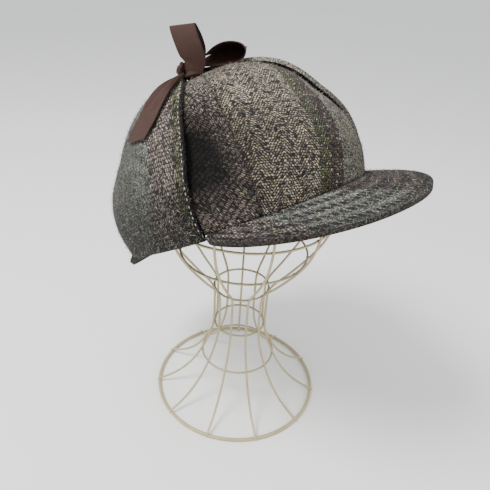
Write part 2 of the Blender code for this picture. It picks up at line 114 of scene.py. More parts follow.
# Hollows in the crown's sides, where the flaps pull it in.
#    turn   rise  depth      turn spread  rise spread
DENTS = (
    (-47.0, 0.33, 8.0 * MM, 13.0, 0.17),
    (50.0, 0.30, 5.0 * MM, 13.0, 0.17),
    (-30.0, 0.62, 1.6 * MM, 12.0, 0.14),
    (150.0, 0.45, 3.0 * MM, 20.0, 0.20),
)
# Where the tied flaps and their ribbon draw the crown in, flap and all.
PULLS = (
    (-50.0, 0.84, 2.6 * MM, 32.0, 0.12),
    (-122.0, 0.52, 6.0 * MM, 34.0, 0.36),
    (122.0, 0.52, 4.0 * MM, 34.0, 0.36),
)
#    rise  front turn  rear turn  stand-off of the outer face
FLAP_ROWS = (
    (0.00, 57.8, 135.0, 3.6 * MM),
    (0.10, 57.5, 134.5, 3.9 * MM),
    (0.20, 56.3, 133.5, 4.4 * MM),
    (0.30, 54.5, 132.0, 4.8 * MM),
    (0.40, 53.6, 130.0, 4.8 * MM),
    (0.50, 52.9, 127.5, 4.4 * MM),
    (0.60, 51.0, 124.5, 4.1 * MM),
    (0.70, 50.0, 121.0, 3.9 * MM),
    (0.80, 52.5, 118.0, 3.8 * MM),
    (0.88, 58.5, 113.0, 3.8 * MM),
    (0.94, 66.0, 107.0, 3.8 * MM),
    (0.97, 74.0, 103.0, 3.8 * MM),
)
FAR_FLAP_FORWARD = 4.0
FLAP_COLUMNS = 96
FLAP_GRID_ROWS = 80
FLAP_HEM_DROP = 2.6 * MM
STITCH_INSET = 1.2 * MM         # sewing thread along a flap's front edge
STITCH_PITCH = 3.9 * MM
STITCH_HALF_SIZE = (0.3 * MM, 0.95 * MM, 0.24 * MM)
STITCHED_RISES = (0.02, 0.93)
STITCH_LIFT = 0.1 * MM
STITCH_DRIFT = 0.5 * MM         # how far a stitch may be off its even place
HEM_DROP = 0.005                # the crown's hem, as a rise below the rim

# ---- sizes: ribbon
RIBBON_WIDTH = 21.0 * MM
RIBBON_CLOTH = 0.7 * MM
RIBBON_PLEATS = 2.0
RIBBON_ROWS = 96
RIBBON_COLUMNS = 16
LOOP_ROWS = 150
KNOT_COLUMNS = 72
KNOT_ROWS = 40
KNOT_PLACE = (-12.5 * MM, -4.0 * MM, 113.4 * MM)
# The folds of the knot: place from its middle, half sizes, turn and tip.
KNOT_FOLDS = millimetres((
    (0.0, 0.0, 0.0, 4.6, 4.6, 4.5, 0.0, 0.0),
    (-1.6, -2.0, 1.2, 2.2, 4.4, 4.6, -30.0, 25.0),
    (-2.6, -1.0, -1.8, 2.0, 4.0, 4.0, -60.0, -20.0),
    (1.8, -3.0, 0.4, 2.2, 3.6, 4.4, 20.0, 10.0),
    (4.0, -7.0, -6.6, 7.6, 4.6, 4.4, -40.0, 8.0),
), lengths=6)
BOW_FACING = -42.0
#    x      y     lift  width
NEAR_TAIL = millimetres((
    (-16.8, -5.6, 5.4, 4.6),
    (-24.4, -17.6, 5.4, 5.0),
    (-32.4, -28.6, 5.8, 5.6),
    (-41.6, -33.9, 6.2, 10.0),
    (-51.4, -31.8, 6.4, 18.0),
    (-60.2, -28.0, 6.4, 21.0),
    (-66.6, -23.0, 6.4, 21.0),
    (-74.2, -12.6, 6.8, 21.0),
))
BACK_TAIL = millimetres((
    (-12.8, 0.4, 5.0, 6.5),
    (-11.4, 16.0, 4.4, 12.0),
    (-8.4, 29.4, 1.6, 19.0),
    (-5.0, 46.0, 1.0, 21.0),
    (-4.6, 62.0, 1.0, 21.0),
    (-4.8, 79.0, 1.2, 21.0),
))
FAR_STRAP = millimetres((
    (-8.3, -3.4, 5.4, 5.6),
    (4.0, -2.0, 5.1, 12.0),
    (16.0, -1.4, 5.1, 18.0),
    (28.0, -1.0, 5.1, 20.0),
    (43.0, -0.6, 5.1, 20.0),
))
TAIL_SLANT = 0.40
#  across  up    away  half width  roll
UPRIGHT_LOOP = millimetres((
    (3.4, 1.0, -4.9, 3.9, -72.0),
    (5.6, 2.6, -5.3, 5.8, -52.0),
    (8.2, 5.0, -5.8, 8.6, -24.0),
    (9.0, 7.9, -6.2, 9.7, -8.0),
    (8.2, 11.9, -6.5, 10.5, 7.0),
    (5.4, 18.3, -6.2, 10.5, 13.0),
    (2.1, 25.9, -4.6, 10.5, 13.0),
    (0.2, 30.4, -2.0, 10.5, 12.0),
    (0.3, 31.0, 1.4, 10.5, 12.0),
    (2.3, 27.4, 4.2, 10.5, 10.0),
    (4.9, 22.0, 5.8, 10.5, 8.0),
    (7.6, 14.4, 6.2, 10.0, 4.0),
    (8.6, 8.8, 4.6, 7.2, -16.0),
    (7.7, 4.4, 1.8, 4.4, -60.0),
    (5.8, 1.8, 0.2, 2.4, -82.0),
))
UPRIGHT_LOOP_TURN = -0.42
#  across  up    away  half width  squeeze
SIDE_LOOP = millimetres((
    (5.3, 0.4, 1.8, 2.2, 0.0),
    (11.5, 3.0, 3.4, 4.5, 0.4),
    (19.0, 4.0, 3.2, 8.5, 1.0),
    (27.5, 4.7, 3.0, 10.5, 1.0),
    (35.5, 5.9, 3.0, 10.5, 1.0),
    (42.4, 8.9, 3.0, 10.5, 1.0),
    (45.8, 14.6, 3.0, 10.5, 1.0),
    (43.6, 20.0, 3.0, 10.5, 1.0),
    (37.2, 22.0, 3.0, 10.5, 1.0),
    (29.0, 21.0, 3.0, 10.5, 1.0),
    (22.0, 17.2, 3.0, 9.5, 1.0),
    (16.4, 11.6, 4.2, 6.5, 0.8),
    (11.0, 6.2, 5.4, 3.5, 0.3),
    (5.6, 2.6, 4.8, 2.0, 0.0),
))
SIDE_LOOP_MIDDLE = (4.4 * MM, 0.26)
SIDE_LOOP_PINCH = 0.03

# ---- sizes: stand
RIB_COUNT = 11
FIRST_RIB_ANGLE = 244.4
RIB_WIRE = 1.0 * MM
BASE_WIRE = 1.5 * MM
RING_WIRE = 0.95 * MM
WELD_DEPTH = 0.6 * MM
BASE_RADIUS = 75.0 * MM
BASE_CROSSING = (76.0 * MM, 2.6 * MM)   # where the ribs are soldered to the foot's ring
RING_POINTS = 132
RIB_POINTS = 103
SOLDER_RADIUS = 1.35 * MM
#  radius  height  crossed by a ring
RIB_PROFILE = millimetres((
    (76.6, 2.5, False),
    (58.6, 11.6, False),
    (44.5, 25.0, False),
    (34.7, 40.9, True),
    (27.4, 58.0, False),
    (23.9, 74.5, True),
    (23.6, 95.0, False),
    (25.4, 114.4, True),
    (39.6, 132.0, False),
    (55.1, 151.7, True),
    (66.4, 170.5, False),
    (72.5, 190.2, True),
    (73.8, 210.0, False),
    (71.6, 229.0, False),
    (65.1, 248.0, False),
    (54.2, 264.5, False),
    (36.5, 280.5, False),
    (14.6, 291.5, True),
), lengths=2)

# ---- cloth's bands
# Bands of colour across the cloth, in millimetres, and their places in a repeat.
GREY_BAND = 66.0
MAUVE_BAND = 38.0
GREEN_BAND = 8.0
BROWN_BAND = 12.0
CHECK_WIDTH = GREY_BAND + MAUVE_BAND + GREEN_BAND + BROWN_BAND
LIGHT_BAND = 42.0
CHECK_HEIGHT = 85.0

# The two ends of the front peak's grey band: each line's place across where the hat's
# middle is, in millimetres, and how fast it moves across on the way ahead.
PEAK_BAND_LINES = ((-60.8, 0.085), (-62.7, 0.5425))
REAR_BAND_START = 124.0
REAR_BAND_SLOPE = 0.3
FLAP_BAND_START = 115.0
# Where a flap's grey band starts: the way up the flap, and the way across it.
FLAP_GREY_START = ((0.0, 10.0, 22.0, 36.0, 52.0, 130.0), (52.0, 44.0, 35.0, 31.0, 29.0, 26.0))

# Where each piece starts on the endless cloth, in millimetres across and up the checks.
PANEL_STEP = 300.0
PEAK_STEP = 800.0
FLAP_STEP = 1200.0
CROWN_CHECK_START = 22.0
PEAK_CHECK_START = 24.0
FLAP_CHECK_START = 45.0
PALE_SHARE = 0.08               # share of pale yarn in the peaks and flaps

# Quilting stitches through the stiffened peaks, in millimetres.
QUILTING_ROWS = 11.0
QUILTING_STITCH = 4.6

# Where each panel of the crown is cut: band place on its middle line, how fast the
# bands follow, the least band place, lean of the yarns away from that line, share
# of pale yarn, and how fine the weave is drawn across and along.
GORE_CUTS = (
    (113.3, 1.0, 70.0, 0.275, 0.66, 1.25, 1.9),  # front, between the seams at -35 and 25
    (20.0, 1.0, -99.0, 0.0, 0.1, 1.2, 1.2),
    (75.0, 1.0, -99.0, 0.06, 0.2, 1.2, 1.2),
    (118.0, 1.0, -99.0, 0.0, 0.2, 1.2, 1.2),
    (40.0, 1.0, -99.0, -0.05, 0.1, 1.2, 1.2),
    (84.0, 0.1, 70.0, -0.75, 0.12, 1.9, 0.85),   # under the near flap, up to its seam
)
# Painted shade, where the folds keep the light out.
#    turn   rise  darkness  turn spread  rise spread
SHADES = (
    (-56.0, 0.33, 1.0, 20.0, 0.24),
    (-40.0, 0.16, 0.42, 24.0, 0.20),
    (50.0, 0.30, 0.4, 13.0, 0.20),
    (180.0, 0.02, 0.4, 60.0, 0.20),
)
DARKEST = 0.96
# Painted light: the peaks are drawn lighter overall.
PEAK_LIGHT = 1.25
# Painted light and shade over a piece: places in millimetres, and the light at each.
# Painted shade on the peaks' ends at the wearer's right.
PEAK_NEAR_END_LIGHT = ((-70.0, -30.0), (0.68, 1.0))
# Painted shade towards each flap's foot, painted light towards its top.
FLAP_LIGHT = ((0.0, 15.0, 40.0, 80.0, 105.0), (0.18, 0.24, 0.56, 0.86, 1.45))
# Painted shade towards the rear of a flap's grey band.
FLAP_BAND_LIGHT = ((20.0, 60.0), (0.72, 1.08))

# ---- stage and camera
CAMERA_PLACE = (-229.67 * MM, -249.06 * MM, 366.04 * MM)
CAMERA_RIGHT = (0.76493, -0.64130, 0.06012)
CAMERA_UP = (0.28590, 0.42168, 0.86049)
CAMERA_LENS = 36.0
CAMERA_SENSOR = 36.0
CAMERA_RANGE = (0.01, 60.0)
KEY_PLACE = (-0.75, 0.15, 1.35)
KEY_WIDTH = 0.55
FILL_PLACE = (0.5, -1.3, 0.9)
FILL_WIDTH = 1.4
LIT_POINT = (0.0, 0.0, 0.2)
SKY_COLOUR = (0.96, 0.98, 1.0, 1.0)
FLOOR_RADIUS = 14.0
FLOOR_DROP = 0.4 * MM           # the floor lies this far under the stand's foot


# ---- settings
def length_setting(name, description, default):
    return bpy.props.FloatProperty(name=name, description=description, default=default,
                                   min=0.0, unit="LENGTH", precision=5)


def colour_setting(name, description, default):
    return bpy.props.FloatVectorProperty(name=name, description=description, default=default,
                                         min=0.0, max=1.0, subtype="COLOR")


def strength_setting(name, description, default, **more):
    return bpy.props.FloatProperty(name=name, description=description, default=default,
                                   min=0.0, **more)


class DeerstalkerCloth(bpy.types.PropertyGroup):
    """The tweed of the hat."""

    column: length_setting("Column", "Width of one column of the herringbone", 10.0 * MM)
    line: length_setting("Line", "From one slanting line of a column to the next", 2.2 * MM)
    climb: length_setting("Climb", "Way up the cloth that moves a line on by one", 5.0 * MM)
    pick: length_setting("Pick", "From one row of flecks to the next", 3.0 * MM)
    grey: colour_setting("Grey", "Flecks of the grey bands", (0.225, 0.24, 0.21))
    mauve: colour_setting("Mauve", "Flecks of the mauve bands", (0.295, 0.235, 0.205))
    green: colour_setting("Green", "Flecks of the green line", (0.115, 0.125, 0.058))
    brown: colour_setting("Brown", "Flecks of the brown bands", (0.095, 0.066, 0.055))
    cream: colour_setting("Cream", "Pale yarn that shows here and there", (0.50, 0.44, 0.325))
    yellow: colour_setting("Yellow", "Yellow yarn that shows here and there", (0.36, 0.31, 0.14))
    dark: colour_setting("Dark", "Yarn between the flecks", (0.013, 0.0092, 0.0085))
    stitch: colour_setting("Stitch", "Sewing thread", (0.36, 0.34, 0.34))
    fuzz: bpy.props.IntProperty(name="Fuzz", description="Loose fibres on the crown",
                                default=20000, min=0)


class DeerstalkerRibbon(bpy.types.PropertyGroup):
    """The ribbon that ties the flaps."""

    colour: colour_setting("Colour", "Colour of the ribbon", (0.047, 0.021, 0.015))
    rib_pitch: length_setting("Rib pitch", "From one woven rib to the next", 0.55 * MM)


class DeerstalkerStand(bpy.types.PropertyGroup):
    """The wire stand."""

    paint: colour_setting("Paint", "Colour of the painted wire", (0.47, 0.40, 0.23))
    # This darker paint colour also gives the painted shade on the wire's lower side.
    worn_and_shaded: colour_setting("Worn", "Colour where the paint is thin", (0.25, 0.19, 0.08))


class DeerstalkerStage(bpy.types.PropertyGroup):
    """The studio."""

    floor: colour_setting("Floor", "Colour of the floor", (0.88, 0.875, 0.86))
    key: strength_setting("Key light", "Power of the main light", 25.0, subtype="POWER")
    fill: strength_setting("Fill light", "Power of the fill light", 7.0, subtype="POWER")
    sky: strength_setting("Sky", "Strength of the light all round", 1.08)


# ---- shader maths
def operation(kind, swapped=False):
    """A method of Socket that makes one Math node."""
    def method(self, *others):
        values = (self, *others)
        return self.finish.node("ShaderNodeMath", {"operation": kind},
                                values[::-1] if swapped else values)
    return method


class Socket:
    """A shader socket that Python's operators turn into Math nodes."""

    __add__ = __radd__ = operation("ADD")
    __sub__ = operation("SUBTRACT")
    __rsub__ = operation("SUBTRACT", swapped=True)
    __mul__ = __rmul__ = operation("MULTIPLY")
    __truediv__ = operation("DIVIDE")
    __rtruediv__ = operation("DIVIDE", swapped=True)
    __lt__ = operation("LESS_THAN")
    __gt__ = operation("GREATER_THAN")
    floor = operation("FLOOR")
    fraction = operation("FRACT")
    size = operation("ABSOLUTE")
    fold = operation("PINGPONG")

    def __init__(self, finish, socket):
        self.finish = finish
        self.socket = socket

    def within(self, low, high):
        """0 at or under low and 1 at or over high, straight between them."""
        return self.finish.node("ShaderNodeMapRange", {}, {"Value": self, "From Min": low,
                                                           "From Max": high})


class Finish:
    """A material while it is made."""

    def __init__(self, name):
        self.material = bpy.data.materials.new(name)
        self.material.use_nodes = True
        self.tree = self.material.node_tree
        self.shader = self.tree.nodes["Principled BSDF"]

    def feed(self, target, value):
        if isinstance(value, Socket):
            self.tree.links.new(value.socket, target)
        elif target.type == "RGBA":
            target.default_value = (*value, 1.0)
        else:
            target.default_value = value

    def node(self, kind, settings, inputs=(), output=0):
        """Any node: its kind, its settings, and the values or links of its sockets."""
        made = self.tree.nodes.new(kind)
        for name, value in settings.items():
            if name == "stops":
                while len(made.color_ramp.elements) < len(value):
                    made.color_ramp.elements.new(1.0)
                for element, (position, colour) in zip(made.color_ramp.elements, value):
                    element.position = position
                    element.color = (*colour, 1.0)
            elif name == "between_stops":
                made.color_ramp.interpolation = value
            else:
                setattr(made, name, value)
        pairs = inputs.items() if isinstance(inputs, dict) else enumerate(inputs)
        for key, value in pairs:
            self.feed(made.inputs[key], value)
        return Socket(self, made.outputs[output])

    def attribute(self, name):
        return self.node("ShaderNodeAttribute", {"attribute_name": name}, output="Vector")

    def object_place(self):
        return self.node("ShaderNodeTexCoord", {}, output="Object")

    def split(self, vector):
        made = self.tree.nodes.new("ShaderNodeSeparateXYZ")
        self.feed(made.inputs[0], vector)
        return [Socket(self, out) for out in made.outputs]

    def join(self, x, y, z):
        return self.node("ShaderNodeCombineXYZ", {}, (x, y, z))

    def noise(self, vector, scale, detail=2.0):
        return self.node("ShaderNodeTexNoise", {}, {"Vector": vector, "Scale": scale,
                                                    "Detail": detail})

    def drift(self, vector, scale, width):
        """A slow wander to both sides, by half the width at most."""
        return (self.noise(vector, scale) - 0.5) * width

    def chance(self, x, y, z):
        """An even random number for each whole x, y and z."""
        return self.node("ShaderNodeTexWhiteNoise", {}, {"Vector": self.join(x, y, z)})

    def bands(self, place, repeat, bands):
        """A colour for each band in a repeat: (width, colour) from its start."""
        stops, start = [], 0.0
        for width, colour in bands:
            stops.append((start / repeat, colour))
            start += width
        return self.node("ShaderNodeValToRGB", {"between_stops": "CONSTANT", "stops": stops},
                         ((place / repeat).fraction(),))

    def mix(self, share, first, second):
        return self.node("ShaderNodeMix", {"data_type": "RGBA"},
                         {0: share, 6: first, 7: second}, 2)

    def dim(self, colour, share):
        return self.node("ShaderNodeVectorMath", {"operation": "SCALE"},
                         {0: colour, "Scale": share})

    def surface(self, **values):
        for name, value in values.items():
            self.feed(self.shader.inputs[name.replace("_", " ")], value)

    def bump(self, height, depth, strength=1.0):
        self.surface(Normal=self.node("ShaderNodeBump", {}, {
            "Strength": strength, "Distance": depth, "Height": height}))


def ridge(share):
    """0 at both sides and 1 along the middle of a share that runs from 0 to 1."""
    side = share * 2.0 - 1.0
    return 1.0 - side * side


def herringbone(finish, cloth, across, along, loose):
    """Flecks in slanting lines that turn at each column: their mask and two chances.

    Where the weave is loose, the flecks of one line aren't level with the next.
    """
    column = (across / (cloth.column / MM)).floor()
    lines = across.fold(cloth.column / MM) / (cloth.line / MM) + along / (cloth.climb / MM)
    line = lines.floor()
    rows = along / (cloth.pick / MM) + finish.chance(line, column, 0.5) * (loose * 0.6 + 0.4)
    row = rows.floor()
    bright = finish.chance(line, row, column)
    tint = finish.chance(line + 0.5, row, column)
    fleck = (ridge(lines.fraction()).within(0.5, 1.0)
             * ridge(rows.fraction()).within(0.35, 0.9) * bright.within(0.0, 0.26))
    return fleck, bright, tint


def tweed_surface(finish, cloth, place, weave, light_yarn, pale, plain, ground, shade):
    """Colour and relief of the cloth from its flecks."""
    fleck, bright, tint = weave
    hairs = finish.noise(place, 2.2, 3.0)
    clouds = finish.noise(place, 0.07, 3.0)
    yarn = finish.mix((tint < pale) * 0.85, light_yarn, cloth.cream)
    yarn = finish.mix((tint > 0.985 - pale * 0.2) * 0.7, yarn, cloth.yellow)
    yarn = finish.mix((bright < 0.28) * (0.8 - plain * 0.5), yarn, cloth.grey)
    under = finish.mix(ground, cloth.dark, light_yarn)
    colour = finish.mix(fleck * (hairs * 1.4 + 0.5), under, yarn)
    light = (bright * 0.9 + 0.5) * (clouds * 0.9 + 0.55) * (hairs * 1.2 + 0.4) * shade * 0.9
    finish.surface(Base_Color=finish.dim(colour, light), Roughness=0.95,
                   Specular_IOR_Level=0.10, Sheen_Weight=0.05, Sheen_Roughness=0.6)
    return fleck * 0.6 + hairs * 0.8


def tweed_finish(name, cloth):
    """Woollen herringbone with an overcheck."""
    finish = Finish(name)
    place = finish.attribute("cloth")
    across, along, seam = finish.split(place)
    check_across, check_along, edge = finish.split(finish.attribute("check"))
    pale, light, stitched = finish.split(finish.attribute("look"))
    across = across + finish.drift(place, 0.31, 2.6)
    along = along + finish.drift(place, 0.43, 3.2)
    check_across = check_across + finish.drift(place, 0.6, 3.0)
    band = (check_across / CHECK_WIDTH).fraction() * CHECK_WIDTH
    grey = band < GREY_BAND
    weave = herringbone(finish, cloth, across * (grey * 0.5 + 1.0),
                        along * (grey * 0.4 + 1.0), grey)
    plain = band > GREY_BAND + MAUVE_BAND
    pale = pale * (1.0 - plain * 0.85)
    light_yarn = finish.bands(check_across, CHECK_WIDTH, (
        (GREY_BAND, cloth.grey), (MAUVE_BAND, cloth.mauve),
        (GREEN_BAND, cloth.green), (BROWN_BAND, cloth.brown)))
    # Painted shade along the seams and the crown's hem, besides their groove in the bump.
    seam = seam.size().within(0.0, 1.6)
    dark_band = (check_along / CHECK_HEIGHT).fraction() > LIGHT_BAND / CHECK_HEIGHT
    # Painted shade in the quilting dimples, besides their dent in the bump.
    dimple = (ridge((edge / QUILTING_ROWS).fraction()).within(0.5, 0.9) * stitched
              * ridge((across / QUILTING_STITCH).fraction()).within(0.25, 0.75))
    # The check's darker bands are the cloth's own colour; seams, dimples and the look's light add
    # painted shade and painted light.
    shade = (1.07 - dark_band * 0.26) * (seam * 0.6 + 0.4) * (1.0 - dimple * 0.88) * light
    height = tweed_surface(finish, cloth, place, weave, light_yarn, pale, plain,
                           grey * 0.1 + 0.075, shade)
    finish.bump(height + seam * 1.6 - dimple * 2.0, 0.6 * MM, 0.7)
    return finish.material


def tweed_edge_finish(name, cloth):
    """The same tweed where it turns over an edge, where no weave can be made out."""
    finish = Finish(name)
    place = finish.object_place()
    specks = finish.noise(place, 900.0, 2.0)
    hues = finish.noise(place, 420.0, 1.0)
    yarn = finish.mix(hues.within(0.35, 0.6), cloth.grey, cloth.mauve)
    colour = finish.mix(specks.within(0.3, 0.75), cloth.dark, yarn)
    # Painted shade and painted light from the look: dark on the near flap's front edge and the
    # peaks' outer edges, light on the far flap's front edge.
    _, light, _ = finish.split(finish.attribute("look"))
    finish.surface(Base_Color=finish.dim(colour, (specks * 0.6 + 0.4) * light), Roughness=0.95,
                   Specular_IOR_Level=0.12)
    finish.bump(specks, 0.8 * MM, 0.7)
    return finish.material


def fibre_finish(name, cloth):
    """Loose wool fibres, each of one shade."""
    finish = Finish(name)
    tone, _, _ = finish.split(finish.attribute("tone"))
    stops = ((0.0, cloth.dark), (0.35, cloth.brown), (0.7, cloth.grey), (1.0, cloth.cream))
    finish.surface(Base_Color=finish.node("ShaderNodeValToRGB", {"stops": stops}, (tone,)),
                   Roughness=0.9, Specular_IOR_Level=0.1)
    return finish.material


def thread_finish(name, cloth):
    """Twisted sewing thread."""
    finish = Finish(name)
    place = finish.object_place()
    twist = finish.noise(place, 2600.0, 2.0)
    finish.surface(Base_Color=finish.dim(cloth.stitch, twist * 0.8 + 0.6), Roughness=0.8)
    finish.bump(twist, 0.2 * MM)
    return finish.material


def ribbon_finish(name, ribbon):
    """Soft ribbed ribbon with a firmer edge."""
    finish = Finish(name)
    place = finish.attribute("cloth")
    across, along, edge = finish.split(place)
    rib = ridge((along / (ribbon.rib_pitch / MM)).fraction())
    blotch = finish.noise(place, 0.09, 3.0)
    grain = finish.noise(place, 1.6, 2.0)
    selvedge = 1.0 - edge.within(0.3, 1.0)
    light = ((blotch * 0.35 + 0.82) * (rib * 0.16 + 0.88) * (grain * 0.3 + 0.85)
             * (1.0 - selvedge * 0.25))
    finish.surface(Base_Color=finish.dim(ribbon.colour, light),
                   Roughness=grain * 0.1 + 0.55, Specular_IOR_Level=0.18,
                   Sheen_Weight=0.03, Sheen_Roughness=0.4)
    finish.bump(rib * 0.5 + grain * 0.5 + selvedge * 0.7, 0.25 * MM, 0.7)
    return finish.material


def wire_finish(name, stand):
    """Cream paint on wire, worn and darker in patches, with painted shade on its lower side."""
    finish = Finish(name)
    place = finish.object_place()
    patch = finish.noise(place, 60.0, 4.0)
    speck = finish.noise(place, 900.0, 2.0)
    _, _, facing = finish.split(finish.node("ShaderNodeNewGeometry", {}, output="Normal"))
    # Worn patches of paint, plus painted shade on the wire's lower side, both mixed towards the
    # darker colour.
    thin_and_shaded = patch.within(0.45, 0.75) * 0.35 + (0.0 - facing).within(-0.2, 1.0) * 0.3
    colour = finish.mix(thin_and_shaded, stand.paint, stand.worn_and_shaded)
    finish.surface(Base_Color=finish.dim(colour, speck * 0.3 + 0.85),
                   Roughness=patch * 0.25 + 0.3, Metallic=0.15, Specular_IOR_Level=0.5)
    finish.bump(speck * 0.5 + patch, 0.12 * MM, 0.5)
    return finish.material


def floor_finish(name, stage):
    """Pale floor with a faint unevenness and a painted pool of light around the stand."""
    finish = Finish(name)
    place = finish.object_place()
    away = finish.node("ShaderNodeVectorMath", {"operation": "LENGTH"}, (place,), output="Value")
    # Painted light: brighter within 0.15 m of the stand, a tenth darker from 1.2 m out.
    light = (finish.noise(place, 1.2) * 0.04 + 0.98) * (1.08 - away.within(0.15, 1.2) * 0.10)
    finish.surface(Base_Color=finish.dim(stage.floor, light), Roughness=0.9,
                   Specular_IOR_Level=0.1)
    return finish.material


# ---- helpers
def linked(name, data):
    """A new object in the scene."""
    obj = bpy.data.objects.new(name, data)
    bpy.context.scene.collection.objects.link(obj)
    return obj


def baked(obj):
    """The mesh that an object shows; the object itself goes."""
    graph = bpy.context.evaluated_depsgraph_get()
    mesh = bpy.data.meshes.new_from_object(obj.evaluated_get(graph), depsgraph=graph)
    bpy.data.objects.remove(obj, do_unlink=True)
    return mesh


def show(name, mesh, materials, slot, *nodes):
    """Put a finished mesh in the scene, riding on the hat, in place of its CAD nodes."""
    obj = linked(name, mesh)
    for material in materials:
        mesh.materials.append(material)
    mesh.polygons.foreach_set("use_smooth", [True] * len(mesh.polygons))
    mesh.update()
    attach(obj, "root")
    if nodes:
        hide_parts(*nodes)
    return obj


def keep_corners(mesh, name, values):
    """Store a vector for every face corner."""
    layer = mesh.attributes.new(name, "FLOAT_VECTOR", "CORNER")
    layer.data.foreach_set("vector", np.ascontiguousarray(values, np.float32).ravel())


def xyz(x, y, z):
    """Three grids or numbers as one grid of vectors."""
    return np.stack(np.broadcast_arrays(x, y, z), axis=-1)


def corners(values):
    """The four corner values of every cell of a grid, rows by columns by 4."""
    return np.stack([values[:-1, :-1], values[:-1, 1:], values[1:, 1:], values[1:, :-1]], axis=2)


def grid_mesh(name, points, layers):
    """One open sheet through a grid of points, with its corner layers."""
    rows, columns = points.shape[:2]
    index = np.arange(rows * columns).reshape(rows, columns)
    faces = corners(index).reshape(-1, 4)
    mesh = bpy.data.meshes.new(name)
    mesh.from_pydata(points.reshape(-1, 3).tolist(), [], faces.tolist())
    for layer, values in layers.items():
        keep_corners(mesh, layer, values)
    return mesh


def finished(mesh, *modifiers):
    """The mesh after these modifiers, given as (kind, settings)."""
    for _ in range(2):
        mesh.materials.append(None)     # so that a rim can have a second material
    obj = linked("work", mesh)
    for number, (kind, settings) in enumerate(modifiers):
        modifier = obj.modifiers.new(f"step {number}", kind)
        for name, value in settings.items():
            setattr(modifier, name, value)
    result = baked(obj)
    slots = np.zeros(len(result.polygons), np.int32)
    result.polygons.foreach_get("material_index", slots)
    result.materials.clear()
    result.polygons.foreach_set("material_index", slots)
    return result


def cloth_steps(thickness, offset=-1.0):
    """Give a sheet its thickness and soft rounded edges."""
    return (("SOLIDIFY", {"thickness": thickness, "offset": offset, "use_even_offset": True,
                          "material_offset_rim": 1}),
            ("BEVEL", {"width": thickness * 0.42, "segments": 3, "limit_method": "ANGLE",
                       "angle_limit": math.radians(55.0)}))


def smooth_read(values, places):
    """Catmull-Rom curve through evenly spaced values, read at places along them."""
    values = np.asarray(values, float)
    last = len(values) - 1
    i = np.clip(places.astype(int), 0, last - 1)
    share = places - i
    if values.ndim > 1:
        share = share[..., None]
    before, start = values[np.maximum(i - 1, 0)], values[i]
    end, after = values[i + 1], values[np.minimum(i + 2, last)]
    square, cube = share ** 2, share ** 3
    return ((2 * cube - 3 * square + 1) * start + (cube - 2 * square + share) * (end - before) / 2
            + (3 * square - 2 * cube) * end + (cube - square) * (after - start) / 2)


def table_read(rows, key, column):
    """A column of a table, read smoothly at values of its first column."""
    table = np.asarray(rows, float)
    return smooth_read(table[:, column], np.interp(key, table[:, 0], np.arange(len(table))))


def way(points, axis):
    """Distance run along a grid of points in one direction, from its start."""
    lengths = np.linalg.norm(np.diff(points, axis=axis), axis=-1)
    start = np.zeros_like(np.take(lengths, [0], axis=axis))
    return np.concatenate([start, np.cumsum(lengths, axis=axis)], axis=axis)


def unit(vectors):
    return vectors / np.maximum(np.linalg.norm(vectors, axis=-1, keepdims=True), 1e-12)


def grid_normals(points):
    return unit(np.cross(np.gradient(points, axis=1), np.gradient(points, axis=0)))


def softness(x, y, seed):
    """Slow even waves, from -1 to 1, that keep cloth from looking pressed."""
    total = 0.0
    for k in range(4):
        angle = seed * 1.7 + k * 2.4
        size = 0.05 * 1.6 ** k
        wave = (x * math.cos(angle) + y * math.sin(angle)) * size + seed + k
        total = total + np.sin(wave) / 1.5 ** k
    return total / 2.4


def hat_matrix():
    """Place and tilt of the hat's own frame."""
    return (Matrix.Translation(Vector(STAND_PLACE) + Vector(HAT_SEAT))
            @ Matrix.Rotation(math.radians(-HAT_TIP_BACK), 4, "X")
            @ Matrix.Rotation(math.radians(-HAT_LEAN_RIGHT), 4, "Y"))


def seat(points):
    """From the hat's frame to the scene's."""
    matrix = np.array(hat_matrix())
    return points @ matrix[:3, :3].T + matrix[:3, 3]


